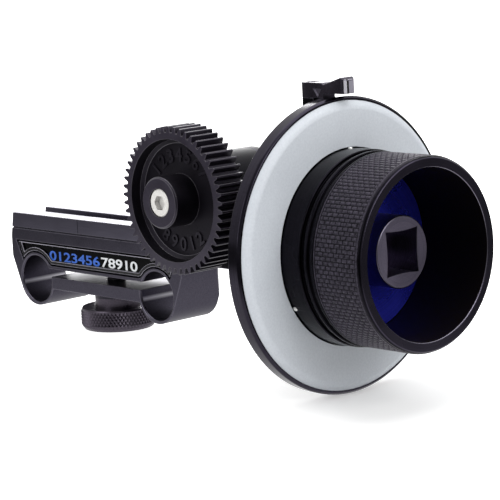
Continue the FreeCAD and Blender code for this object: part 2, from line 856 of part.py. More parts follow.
def wave_washer():
    inner = wheel_shaft_radius + screw_clearance
    return tube("X", wheel, neck_end + end_float, carrier_hub_back, inner + wave_washer_width, inner)


def around_wheel(radius, count, phase):
    # points on a circle round the handwheel axis, the phase in degrees from +Z towards -Y
    angles = [math.radians(phase + 360 * index / count) for index in range(count)]
    return [wheel + Vector(0, -radius * math.sin(angle), radius * math.cos(angle)) for angle in angles]


def carrier_screw_places():
    return around_wheel(carrier_screw_circle, carrier_screws_count, carrier_screw_phase)


def carrier_disc():
    dish_inner = carrier_hub_radius + carrier_land_width
    dish_outer = carrier_radius - carrier_rim_width
    dish = carrier_screw_seat
    seat = marking_radius + running_clearance
    solid = turned("X", wheel, [
        (carrier_hub_back, wheel_shaft_radius), (carrier_hub_back, carrier_hub_radius),
        (carrier_back, carrier_hub_radius), (carrier_back, dish_inner),
        (dish, dish_inner + carrier_dish_slope), (dish, dish_outer - carrier_dish_slope),
        (carrier_back, dish_outer), (carrier_back, carrier_radius - carrier_bevel),
        (carrier_back + carrier_bevel, carrier_radius), (carrier_front - carrier_bevel, carrier_radius),
        (carrier_front, carrier_radius - carrier_bevel), (carrier_front, seat), (ring_seat, seat),
        (ring_seat, wheel_shaft_radius)])
    for place in carrier_screw_places():
        solid = solid.cut(rod("X", place, carrier_back - 1, ring_seat + 1,
                              carrier_screw_radius + screw_clearance))
    return solid


def carrier_screws():
    return Part.makeCompound([
        cap_screw("X", place, carrier_screw_seat, carrier_screw_tip, carrier_screw_radius,
                  carrier_screw_head, carrier_dish, hex_key) for place in carrier_screw_places()])


def marking_ring():
    return turned("X", wheel, [
        (ring_seat, marking_bore), (ring_seat, marking_radius), (carrier_front, marking_radius),
        (marking_front, marking_radius - marking_bevel), (marking_front, marking_bore)])


def handwheel_body():
    solid = turned("X", wheel, [
        (ring_seat, wheel_shaft_radius), (ring_seat, flange_radius),
        (flange_front - groove_bevel, flange_radius), (flange_front, flange_radius - groove_bevel),
        (flange_front, groove_radius), (collar_back, groove_radius),
        (collar_back, collar_radius - groove_bevel), (collar_back + groove_bevel, collar_radius),
        (collar_front - groove_bevel, collar_radius), (collar_front, collar_radius - groove_bevel),
        (collar_front, groove_radius), (band_back, groove_radius),
        (band_back, grip_radius - groove_bevel), (band_back + groove_bevel, grip_radius),
        (grip_back, grip_radius), (grip_back, seat_radius), (grip_front, seat_radius),
        (grip_front, lip_radius), (rim_front - lip_bevel, lip_radius),
        (rim_front, lip_radius - lip_bevel), (rim_front, cup_radius + cup_mouth_bevel),
        (rim_front - cup_mouth_bevel, cup_radius), (cup_floor, cup_radius), (cup_floor, wheel_shaft_radius)])
    for place in carrier_screw_places():
        solid = solid.cut(rod("X", place, ring_seat - 1, carrier_screw_tip, carrier_screw_radius))
    for index in range(catch_pin_count):
        hole = rod("Z", Vector(), flange_radius - catch_pin_length, flange_radius + 1, catch_pin_radius)
        solid = solid.cut(at_catch_pin(hole, index))
    return solid


def at_catch_pin(solid, index):
    # turns something made along +Z to a catch pin's place on the flange
    solid.rotate(Vector(), Vector(1, 0, 0), 360 * index / catch_pin_count)
    solid.translate(Vector(marking_front + catch_pin_gap + catch_pin_radius, 0, wheel_z))
    return solid


def ring_catch_pins():
    # they stand a little proud of the flange, and keep the marking ring from sliding off
    top = flange_radius + catch_pin_proud
    outline = [(flange_radius - catch_pin_length, 0), (flange_radius - catch_pin_length, catch_pin_radius),
               (top - catch_pin_bevel, catch_pin_radius), (top, catch_pin_radius - catch_pin_bevel), (top, 0)]
    return Part.makeCompound([at_catch_pin(turned("Z", Vector(), outline), index)
                              for index in range(catch_pin_count)])


def grip_sleeve():
    return turned("X", wheel, [
        (grip_back, seat_radius), (grip_back, grip_radius - grip_bevel),
        (grip_back + grip_bevel, grip_radius), (grip_front - grip_bevel, grip_radius),
        (grip_front, grip_radius - grip_bevel), (grip_front, seat_radius)])


def cup_floor_disc():
    return tube("X", wheel, cup_floor, floor_disc_front, cup_radius - floor_gap, hub_radius + floor_gap)


def drive_socket():
    # a square whose sides bow inwards, open at the hub's front
    reach = drive_corner_radius / math.sqrt(2)
    bow = reach - drive_bow
    corners = [Vector(drive_floor, y, z) for y, z in
               ((reach, -reach), (reach, reach), (-reach, reach), (-reach, -reach))]
    middles = [Vector(drive_floor, y, z) for y, z in ((bow, 0), (0, bow), (-bow, 0), (0, -bow))]
    outline = wire(corners[0], list(zip(middles, corners[1:] + corners[:1])))
    socket = prism(outline, Vector(drive_depth + 1, 0, 0))
    socket.translate(wheel)
    return socket


def drive_hub():
    hole = hub_screw_radius + screw_clearance
    solid = turned("X", wheel, [
        (cup_floor, hole), (cup_floor, hub_radius), (hub_front - hub_bevel, hub_radius),
        (hub_front, hub_radius - hub_bevel), (hub_front, hole)])
    return solid.cut(drive_socket())


def hub_screw():
    return cap_screw("X", wheel, drive_floor, hub_screw_tip, hub_screw_radius, hub_screw_head,
                     hub_screw_head_height, hex_key)


# ---- Drive gear ----
def output_shaft():
    shoulder = pinion_width / 2
    shoulder_end = cavity_back - end_float
    start = gear_screw_seat + end_float
    end = housing_back - end_float
    tapped = gear_screw_tip + end_float
    return turned("Y", output, [
        (start, gear_screw_radius), (start, output_shaft_radius), (shoulder, output_shaft_radius),
        (shoulder, shoulder_radius), (shoulder_end, shoulder_radius), (shoulder_end, output_shaft_radius),
        (end, output_shaft_radius), (end, 0), (tapped, 0), (tapped, gear_screw_radius)])


def output_pinion():
    return helical_pinion("Y", output, output_shaft_radius)


def pin_places():
    return [output + Vector(side * pin_circle, 0, 0) for side in (-1, 1)]


def gear_adapter():
    solid = turned("Y", output, [
        (gear_back, output_shaft_radius), (gear_back, adapter_radius), (adapter_back, adapter_radius),
        (adapter_back, adapter_collar_radius), (adapter_collar_back, adapter_collar_radius),
        (adapter_collar_back, output_shaft_radius)])
    for place in pin_places():
        solid = solid.cut(rod("Y", place, gear_back - 1, adapter_back + 1, pin_radius))
    return solid


def drive_pins():
    start = gear_back - pin_depth + pin_clearance
    return Part.makeCompound([rod("Y", place, start, adapter_back, pin_radius) for place in pin_places()])


def drive_gear():
    pitch = gear_module * gear_teeth / 2
    tip = pitch + gear_module
    flank = tooth_flank(gear_teeth, pitch, gear_module, math.radians(pressure_angle), gear_backlash)
    outline = loop(gear_points(gear_teeth, flank, gear_boss_front, 0))
    toothed = orient(prism(outline, Vector(gear_back - gear_boss_front, 0, 0)), "Y", output)
    head = gear_screw_head_radius + head_clearance
    slope = gear_recess_slope
    back = gear_back - gear_back_recess
    blank = turned("Y", output, [
        (gear_back, output_shaft_radius), (gear_screw_seat, output_shaft_radius), (gear_screw_seat, head),
        (gear_boss_front, head), (gear_boss_front, gear_boss_radius - gear_rim_bevel),
        (gear_boss_front + gear_rim_bevel, gear_boss_radius), (recess_floor, gear_boss_radius),
        (recess_floor, gear_recess_radius - slope), (recess_floor - slope, gear_recess_radius),
        (gear_front, gear_recess_radius + gear_rim_bevel), (gear_front, tip + 1), (gear_back, tip + 1),
        (gear_back, gear_recess_radius), (back, gear_recess_radius - slope), (back, adapter_radius + slope),
        (gear_back, adapter_radius)])
    solid = toothed.common(blank)
    for place in pin_places():
        solid = solid.cut(rod("Y", place, gear_back - pin_depth, gear_back + 1, pin_radius + pin_clearance))
    return solid


def gear_screw():
    return cap_screw("Y", output, gear_screw_seat, gear_screw_tip, gear_screw_radius,
                     gear_screw_head_radius, gear_screw_head_height, gear_screw_key)


sub_parts = [
    clamp_body, badge_bezel, badge_label, screw_insert, knob_washer, clamp_knob, clamp_stud,
    bridge_foot, bridge_screws, rail_nut, lock_washer, lock_knob, lock_stud,
    gearbox_housing, gearbox_cover, cover_screws, output_front_bush, output_rear_bush,
    wheel_left_bush, wheel_inner_bush, wheel_outer_bush, neck,
    index_arm, index_pointer, pointer_screw, index_screw,
    wheel_shaft, wheel_pinion, shaft_clip, wave_washer, carrier_disc, carrier_screws, marking_ring,
    handwheel_body, ring_catch_pins, grip_sleeve, cup_floor_disc, drive_hub, hub_screw,
    output_shaft, output_pinion, gear_adapter, drive_pins, drive_gear, gear_screw]

os.makedirs("parts", exist_ok=True)
for make in sub_parts:
    shape = make()
    shape.exportStep("parts/" + make.__name__ + ".step")
    print(make.__name__, len(shape.Solids), round(shape.Volume, 1), shape.isValid())
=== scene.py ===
import json
import math

import bmesh
import bpy
from mathutils import Matrix, Vector

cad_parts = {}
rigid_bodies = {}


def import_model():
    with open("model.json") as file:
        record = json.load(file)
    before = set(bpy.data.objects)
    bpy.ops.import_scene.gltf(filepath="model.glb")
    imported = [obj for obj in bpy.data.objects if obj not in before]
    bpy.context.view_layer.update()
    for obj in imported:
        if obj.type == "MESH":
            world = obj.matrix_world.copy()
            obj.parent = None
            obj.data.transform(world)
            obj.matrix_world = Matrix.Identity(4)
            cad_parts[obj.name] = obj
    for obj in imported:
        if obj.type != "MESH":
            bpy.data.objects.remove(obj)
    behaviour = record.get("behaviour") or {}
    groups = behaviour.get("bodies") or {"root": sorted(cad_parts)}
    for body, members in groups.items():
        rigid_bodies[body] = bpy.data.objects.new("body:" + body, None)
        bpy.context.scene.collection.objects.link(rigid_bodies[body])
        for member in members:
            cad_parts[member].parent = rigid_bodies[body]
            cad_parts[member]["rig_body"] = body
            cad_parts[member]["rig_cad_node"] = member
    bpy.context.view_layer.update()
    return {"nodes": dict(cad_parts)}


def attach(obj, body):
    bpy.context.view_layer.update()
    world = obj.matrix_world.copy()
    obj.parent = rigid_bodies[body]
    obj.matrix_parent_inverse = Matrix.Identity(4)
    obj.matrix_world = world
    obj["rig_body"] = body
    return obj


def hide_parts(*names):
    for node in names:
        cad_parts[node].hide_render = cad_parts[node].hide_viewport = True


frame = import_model()
bpy.context.scene.view_settings.view_transform = "Standard"
nodes = frame["nodes"]
mm = 0.001
weld = 0.002 * mm  # corners closer than this are one corner
wheelAxis = Vector((0, 0, 20.5))  # the handwheel turns about X at this height, in mm
gearAxis = Vector((56.0, 0, 33.348))  # the drive gear turns about Y here, in mm
print("frame loaded:", len(nodes), "nodes")


def takeUp(*chosen):  # only these are selected, and the first is active
    bpy.ops.object.select_all(action="DESELECT")
    for piece in chosen:
        piece.select_set(True)
    if chosen:
        bpy.context.view_layer.objects.active = chosen[0]


def openEdit(piece, kind="FACE"):
    takeUp(piece)
    bpy.ops.object.mode_set(mode="EDIT")
    bpy.ops.mesh.select_mode(type=kind)
    bpy.ops.mesh.select_all(action="DESELECT")


def closeEdit():
    bpy.ops.object.mode_set(mode="OBJECT")


def pickFaces(piece, rule):  # the rule is given a face's middle and its normal
    mesh = bmesh.from_edit_mesh(piece.data)
    for face in mesh.faces:
        face.select_set(bool(rule(face.calc_center_median(), face.normal)))
    bmesh.update_edit_mesh(piece.data)


def pickEdges(piece, rule):  # the rule is given an edge's two ends
    mesh = bmesh.from_edit_mesh(piece.data)
    for edge in mesh.edges:
        edge.select_set(bool(rule(edge.verts[0].co, edge.verts[1].co)))
    bmesh.update_edit_mesh(piece.data)


def settle(piece):  # its place goes into its mesh, so the object sits at the origin
    takeUp(piece)
    bpy.ops.object.transform_apply(location=True, rotation=True, scale=True)


def useModifier(piece, kind, settings):
    takeUp(piece)
    bpy.ops.object.modifier_add(type=kind)
    modifier = piece.modifiers[-1]
    for name, value in settings.items():
        setattr(modifier, name, value)
    bpy.ops.object.modifier_apply(modifier=modifier.name)


def smoothBelow(piece, degrees):
    takeUp(piece)
    bpy.ops.object.shade_smooth_by_angle(angle=math.radians(degrees))


def hang(piece, name, finish, body, standsFor=()):  # the last step of every piece
    piece.name = name
    piece.data.name = name
    if finish:
        piece.data.materials.clear()
        piece.data.materials.append(finish)
    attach(piece, body)
    if standsFor:
        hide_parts(*standsFor)
    return piece


# camera

cameraSet = {"azimuth": 47.39, "elevation": 9.14, "roll": -2.88, "distance": 681.3, "aim": (62.8, 0, 15.84),
             "lens": 163.8, "near": 0.01, "far": 50}


def makeCamera():
    turn, rise, roll = (math.radians(cameraSet[k]) for k in ("azimuth", "elevation", "roll"))
    back = Vector((math.sin(turn) * math.cos(rise), -math.cos(turn) * math.cos(rise), math.sin(rise)))
    right = Vector((math.cos(turn), math.sin(turn), 0))
    up = back.cross(right)
    rightNow = right * math.cos(roll) + up * math.sin(roll)
    upNow = up * math.cos(roll) - right * math.sin(roll)
    takeUp()
    bpy.ops.object.camera_add()
    camera = bpy.context.object
    camera.name = "studio_camera"
    camera.data.lens = cameraSet["lens"]
    camera.data.clip_start = cameraSet["near"]
    camera.data.clip_end = cameraSet["far"]
    place = (Vector(cameraSet["aim"]) + back * cameraSet["distance"]) * mm
    camera.matrix_world = Matrix((rightNow, upNow, back)).transposed().to_4x4()
    camera.location = place
    bpy.context.scene.camera = camera
    print("camera placed")


makeCamera()


# finishes

def linear(colour):  # sRGB hex to the linear values that the shader takes
    parts = [int(colour[i:i + 2], 16) / 255 for i in (0, 2, 4)]
    return [p / 12.92 if p <= 0.04045 else ((p + 0.055) / 1.055) ** 2.4 for p in parts] + [1.0]


def addNode(tree, kind, settings=None, links=None):
    node = tree.nodes.new("ShaderNode" + kind)
    for key, value in (settings or {}).items():
        if isinstance(key, int) or key in node.inputs:
            node.inputs[key].default_value = value
        else:
            setattr(node, key, value)
    for key, source in (links or {}).items():
        tree.links.new(source, node.inputs[key])
    return node


def startFinish(name, metallic, settings=None):
    finish = bpy.data.materials.new(name)
    finish.use_nodes = True
    tree = finish.node_tree
    tree.nodes.clear()
    place = addNode(tree, "TexCoord").outputs["Object"]
    shader = addNode(tree, "BsdfPrincipled", {"Metallic": metallic, **(settings or {})})
    addNode(tree, "OutputMaterial", links={"Surface": shader.outputs[0]})
    return finish, tree, place, shader


noiseSpan = {"From Min": 0.3, "From Max": 0.7}  # a noise seldom goes past these values


def grained(name, look, metallic=1.0, settings=None):
    # a fine grain over slow clouds: both shift the colour a little, the clouds the gloss, the grain the bumps
    finish, tree, place, shader = startFinish(name, metallic, settings)
    grain = addNode(tree, "TexNoise", {"Scale": 1 / (look["grain"] * mm), "Detail": 2.0}, {"Vector": place})
    cloud = addNode(tree, "TexNoise", {"Scale": 1 / (look["cloud"] * mm), "Detail": 3.0}, {"Vector": place})
    blend = addNode(tree, "Mix", {0: look.get("grainShare", 0.6)},
                    {2: cloud.outputs[0], 3: grain.outputs[0]})
    shade = addNode(tree, "MapRange", noiseSpan, {"Value": blend.outputs[0]})
    colour = addNode(tree, "Mix", {"data_type": "RGBA", 6: linear(look["dark"]), 7: linear(look["light"])},
                     {0: shade.outputs[0]})
    gloss = addNode(tree, "MapRange", {**noiseSpan, "To Min": look["smooth"], "To Max": look["rough"]},
                    {"Value": cloud.outputs[0]})
    relief = addNode(tree, "Bump", {"Strength": look["relief"], "Distance": look["depth"] * mm},
                     {"Height": grain.outputs[0]})
    tree.links.new(colour.outputs[2], shader.inputs["Base Color"])
    tree.links.new(gloss.outputs[0], shader.inputs["Roughness"])
    tree.links.new(relief.outputs[0], shader.inputs["Normal"])
    return finish, tree, place, shader, colour, gloss, relief


def latheMarks(name, look, axis, centre, metallic=1.0, settings=None):
    # tool rings: one noise read along the radius plus the axis, so flats get circles and rims get bands
    finish, tree, place, shader, colour, gloss, grain = grained(name, look, metallic, settings)
    shifted = addNode(tree, "Mapping", {"Location": [-c * mm for c in centre]}, {"Vector": place})
    parts = addNode(tree, "SeparateXYZ", links={0: shifted.outputs[0]})
    along = "XYZ".index(axis)
    across = [parts.outputs[i] for i in range(3) if i != along]
    flat = addNode(tree, "CombineXYZ", links={0: across[0], 1: across[1]})
    radius = addNode(tree, "VectorMath", {"operation": "LENGTH"}, {0: flat.outputs[0]})
    run = addNode(tree, "Math", {"operation": "ADD"}, {0: radius.outputs["Value"], 1: parts.outputs[along]})
    rings = addNode(tree, "TexNoise", {"noise_dimensions": "1D", "Scale": 1 / (look["ring"] * mm),
                                       "Detail": 2.0}, {"W": run.outputs[0]})
    lines = addNode(tree, "Bump", {"Strength": look["ringRelief"], "Distance": look["ringDepth"] * mm},
                    {"Height": rings.outputs[0], "Normal": grain.outputs[0]})
    tint = addNode(tree, "MapRange", {**noiseSpan, "To Min": 1 - look["ringTint"],
                                      "To Max": 1 + look["ringTint"]}, {"Value": rings.outputs[0]})
    tinted = addNode(tree, "VectorMath", {"operation": "SCALE"},
                     {0: colour.outputs[2], "Scale": tint.outputs[0]})
    tree.links.new(tinted.outputs[0], shader.inputs["Base Color"])
    tree.links.new(lines.outputs[0], shader.inputs["Normal"])
    return finish, tree, shader, tinted, gloss, radius, parts.outputs[along]


def handwheelAluminium():
    # turned aluminium, anodised black, in three states: polished outside, so nearly black with bright
    # edges; a brushed violet-grey face on the rim, with a painted highlight as a pale ring at each of its
    # two edges; a matt cup that eats light
    look = {"dark": "141318", "light": "201e25", "grain": 0.5, "cloud": 16, "smooth": 0.2, "rough": 0.3,
            "relief": 0.15, "depth": 0.02, "ring": 0.5, "ringRelief": 0.25, "ringDepth": 0.02,
            "ringTint": 0.12}
    places = {"rimFrom": 135.5, "cupInside": 24.33, "innerEdge": 24.5, "outerEdge": 27.15, "rim": "433f4c",
              "paintedHighlight": "8d8996", "cup": "1c1715", "cupRough": 0.7}
    marks = latheMarks("turned_anodised_handwheel", look, "X", wheelAxis)
    finish, tree, shader, outside, gloss, radius, along = marks
    away = radius.outputs["Value"]
    onRim = addNode(tree, "Math", {"operation": "GREATER_THAN", 1: places["rimFrom"] * mm}, {0: along})
    # painted highlight: the rim face is given a pale colour in rings at its inner and outer edges
    inner = addNode(tree, "Math", {"operation": "LESS_THAN", 1: places["innerEdge"] * mm}, {0: away})
    outer = addNode(tree, "Math", {"operation": "GREATER_THAN", 1: places["outerEdge"] * mm}, {0: away})
    edges = addNode(tree, "Math", {"operation": "ADD"}, {0: inner.outputs[0], 1: outer.outputs[0]})
    face = addNode(tree, "Mix", {"data_type": "RGBA", 6: linear(places["rim"]), 7: linear(places["paintedHighlight"])},
                   {0: edges.outputs[0]})
    inCup = addNode(tree, "Math", {"operation": "LESS_THAN", 1: places["cupInside"] * mm}, {0: away})
    cup = addNode(tree, "Mix", {"data_type": "RGBA", 7: linear(places["cup"])},
                  {0: inCup.outputs[0], 6: outside.outputs[0]})
    rim = addNode(tree, "Mix", {"data_type": "RGBA"},
                  {0: onRim.outputs[0], 6: cup.outputs[2], 7: face.outputs[2]})
    rough = addNode(tree, "Mix", {3: places["cupRough"]}, {0: inCup.outputs[0], 2: gloss.outputs[0]})
    tree.links.new(rim.outputs[2], shader.inputs["Base Color"])
    tree.links.new(rough.outputs[0], shader.inputs["Roughness"])
    return finish


def pointerAluminium():
    # milled aluminium, anodised dark grey, a little paler than the disc behind it; its nose was faced off
    # afterwards and shows bare matt metal, grey, with a painted highlight as a bright strip at the near
    # corner and a dark line between the two
    look = {"dark": "45404b", "light": "5b5662", "grain": 0.4, "cloud": 6, "smooth": 0.25, "rough": 0.34,
            "relief": 0.25, "depth": 0.02}
    places = {"noseFrom": 107.35, "highlightTo": -1.25, "lineAt": -0.85, "lineHalf": 0.4, "highlightStrip": "b8b6be",
              "line": "09080b", "grey": "8f8c98", "noseMetal": 0.1}
    finish, tree, place, shader, colour, *rest = grained("milled_anodised_pointer", look)
    across, deep = addNode(tree, "SeparateXYZ", links={0: place}).outputs[:2]
    onNose = addNode(tree, "Math", {"operation": "GREATER_THAN", 1: places["noseFrom"] * mm}, {0: across})
    # painted highlight: the bright strip at the nose's near corner
    onHighlight = addNode(tree, "Math", {"operation": "LESS_THAN", 1: places["highlightTo"] * mm}, {0: deep})
    onLine = addNode(tree, "Math", {"operation": "COMPARE", 1: places["lineAt"] * mm,
                                    2: places["lineHalf"] * mm}, {0: deep})
    highlightStrip = addNode(tree, "Mix", {"data_type": "RGBA", 6: linear(places["grey"]),
                                  7: linear(places["highlightStrip"])}, {0: onHighlight.outputs[0]})
    lined = addNode(tree, "Mix", {"data_type": "RGBA", 7: linear(places["line"])},
                    {0: onLine.outputs[0], 6: highlightStrip.outputs[2]})
    nosed = addNode(tree, "Mix", {"data_type": "RGBA"},
                    {0: onNose.outputs[0], 6: colour.outputs[2], 7: lined.outputs[2]})
    metal = addNode(tree, "MapRange", {"To Min": 1.0, "To Max": places["noseMetal"]},
                    {"Value": onNose.outputs[0]})
    tree.links.new(nosed.outputs[2], shader.inputs["Base Color"])
    tree.links.new(metal.outputs[0], shader.inputs["Metallic"])
    return finish


violetSheen = "dcd2ee"  # the cast that the black plastics and the rubber give their sheen


def ribbedRubber():
    # moulded rubber: the crests of the ribs are rubbed unevenly to a dull grey; painted shade keeps the
    # grooves black
    look = {"dark": "0b0a0d", "light": "3d3944", "grain": 0.8, "cloud": 7, "grainShare": 0.8, "smooth": 0.38,
            "rough": 0.52, "relief": 0.8, "depth": 0.16}
    grooveShade = {"colour": "050506", "from": 27.44, "to": 27.62}
    finish, tree, place, shader, colour, *rest = grained("moulded_grip_rubber", look, 0.0, {
        "IOR": 1.52, "Specular IOR Level": 0.35, "Specular Tint": linear(violetSheen)})
    shifted = addNode(tree, "Mapping", {"Location": [-c * mm for c in wheelAxis]}, {"Vector": place})
    across = addNode(tree, "VectorMath", {"operation": "MULTIPLY", 1: (0, 1, 1)}, {0: shifted.outputs[0]})
    radius = addNode(tree, "VectorMath", {"operation": "LENGTH"}, {0: across.outputs[0]})
    # painted shade: below the crests the rubber is darkened to near black
    crest = addNode(tree, "MapRange", {"From Min": grooveShade["from"] * mm, "From Max": grooveShade["to"] * mm},
                    {"Value": radius.outputs["Value"]})
    both = addNode(tree, "Mix", {"data_type": "RGBA", 6: linear(grooveShade["colour"])},
                   {0: crest.outputs[0], 7: colour.outputs[2]})
    tree.links.new(both.outputs[2], shader.inputs["Base Color"])
    return finish


def clampAluminium():
    # bead-blasted aluminium, anodised black: a satin charcoal with a violet cast; the rail above the
    # scribed line was machined after blasting and is paler, with fine lines along its length and one mark
    # scribed across it; in each bore a painted highlight lies as a pale strip low on the inner wall
    look = {"dark": "3e3b46", "light": "504d59", "grain": 0.45, "cloud": 14, "smooth": 0.34, "rough": 0.44,
            "relief": 0.35, "depth": 0.03}
    places = {"railFrom": 16.3, "railDark": "585563", "railLight": "6c6977", "lineSize": (9, 0.5, 0.35),
              "markAt": -6.9, "markHalf": 0.13, "mark": "24222a", "boreAt": 30.0, "boreRadius": 7.65,
              "highlightAt": -1.7, "highlightHalf": 0.9, "highlightStrip": "c6c4cc"}
    finish, tree, place, shader, colour, *rest = grained("blasted_anodised_clamp", look)
    across, deep, height = addNode(tree, "SeparateXYZ", links={0: place}).outputs
    onRail = addNode(tree, "Math", {"operation": "GREATER_THAN", 1: places["railFrom"] * mm}, {0: height})
    drawn = addNode(tree, "Mapping", {"Scale": [1 / (size * mm) for size in places["lineSize"]]},
                    {"Vector": place})
    lines = addNode(tree, "TexNoise", {"Scale": 1.0, "Detail": 2.0}, {"Vector": drawn.outputs[0]})
    rail = addNode(tree, "Mix", {"data_type": "RGBA", 6: linear(places["railDark"]),
                                 7: linear(places["railLight"])}, {0: lines.outputs[0]})
    onMark = addNode(tree, "Math", {"operation": "COMPARE", 1: places["markAt"] * mm,
                                    2: places["markHalf"] * mm}, {0: across})
    marked = addNode(tree, "Mix", {"data_type": "RGBA", 7: linear(places["mark"])},
                     {0: onMark.outputs[0], 6: rail.outputs[2]})
    both = addNode(tree, "Mix", {"data_type": "RGBA"},
                   {0: onRail.outputs[0], 6: colour.outputs[2], 7: marked.outputs[2]})
    side = addNode(tree, "Math", {"operation": "ABSOLUTE"}, {0: across})
    fromBore = addNode(tree, "Math", {"operation": "SUBTRACT", 1: places["boreAt"] * mm},
                       {0: side.outputs[0]})
    flat = addNode(tree, "CombineXYZ", links={0: fromBore.outputs[0], 1: height})
    away = addNode(tree, "VectorMath", {"operation": "LENGTH"}, {0: flat.outputs[0]})
    inBore = addNode(tree, "Math", {"operation": "LESS_THAN", 1: places["boreRadius"] * mm},
                     {0: away.outputs["Value"]})
    # painted highlight: a pale band at one height, low on each bore's inner wall
    offHighlight = addNode(tree, "Math", {"operation": "SUBTRACT", 1: places["highlightAt"] * mm}, {0: height})
    apart = addNode(tree, "Math", {"operation": "ABSOLUTE"}, {0: offHighlight.outputs[0]})
    highlightStrip = addNode(tree, "MapRange", {"From Max": places["highlightHalf"] * mm, "To Min": 1.0, "To Max": 0.0},
                    {"Value": apart.outputs[0]})
    paintedHighlight = addNode(tree, "Math", {"operation": "MULTIPLY"}, {0: highlightStrip.outputs[0], 1: inBore.outputs[0]})
    final = addNode(tree, "Mix", {"data_type": "RGBA", 7: linear(places["highlightStrip"])},
                    {0: paintedHighlight.outputs[0], 6: both.outputs[2]})
    tree.links.new(final.outputs[2], shader.inputs["Base Color"])
    return finish


def screwThread(name, look, pitch, centre):
    # steel with a rolled thread, drawn as a helix in the surface: bright crests and dark roots
    finish, tree, place, shader, colour, gloss, relief = grained(name, look)
    shifted = addNode(tree, "Mapping", {"Location": [-c * mm for c in centre]}, {"Vector": place})
    parts = addNode(tree, "SeparateXYZ", links={0: shifted.outputs[0]})
    turn = addNode(tree, "Math", {"operation": "ARCTAN2"}, {0: parts.outputs[1], 1: parts.outputs[0]})
    rise = addNode(tree, "Math", {"operation": "MULTIPLY", 1: math.tau / (pitch * mm)},
                   {0: parts.outputs[2]})
    phase = addNode(tree, "Math", {"operation": "SUBTRACT"}, {0: rise.outputs[0], 1: turn.outputs[0]})
    wave = addNode(tree, "Math", {"operation": "SINE"}, {0: phase.outputs[0]})
    cut = addNode(tree, "Bump", {"Strength": 1.0, "Distance": look["threadDepth"] * mm},
                  {"Height": wave.outputs[0], "Normal": relief.outputs[0]})
    tree.links.new(cut.outputs[0], shader.inputs["Normal"])
    return finish


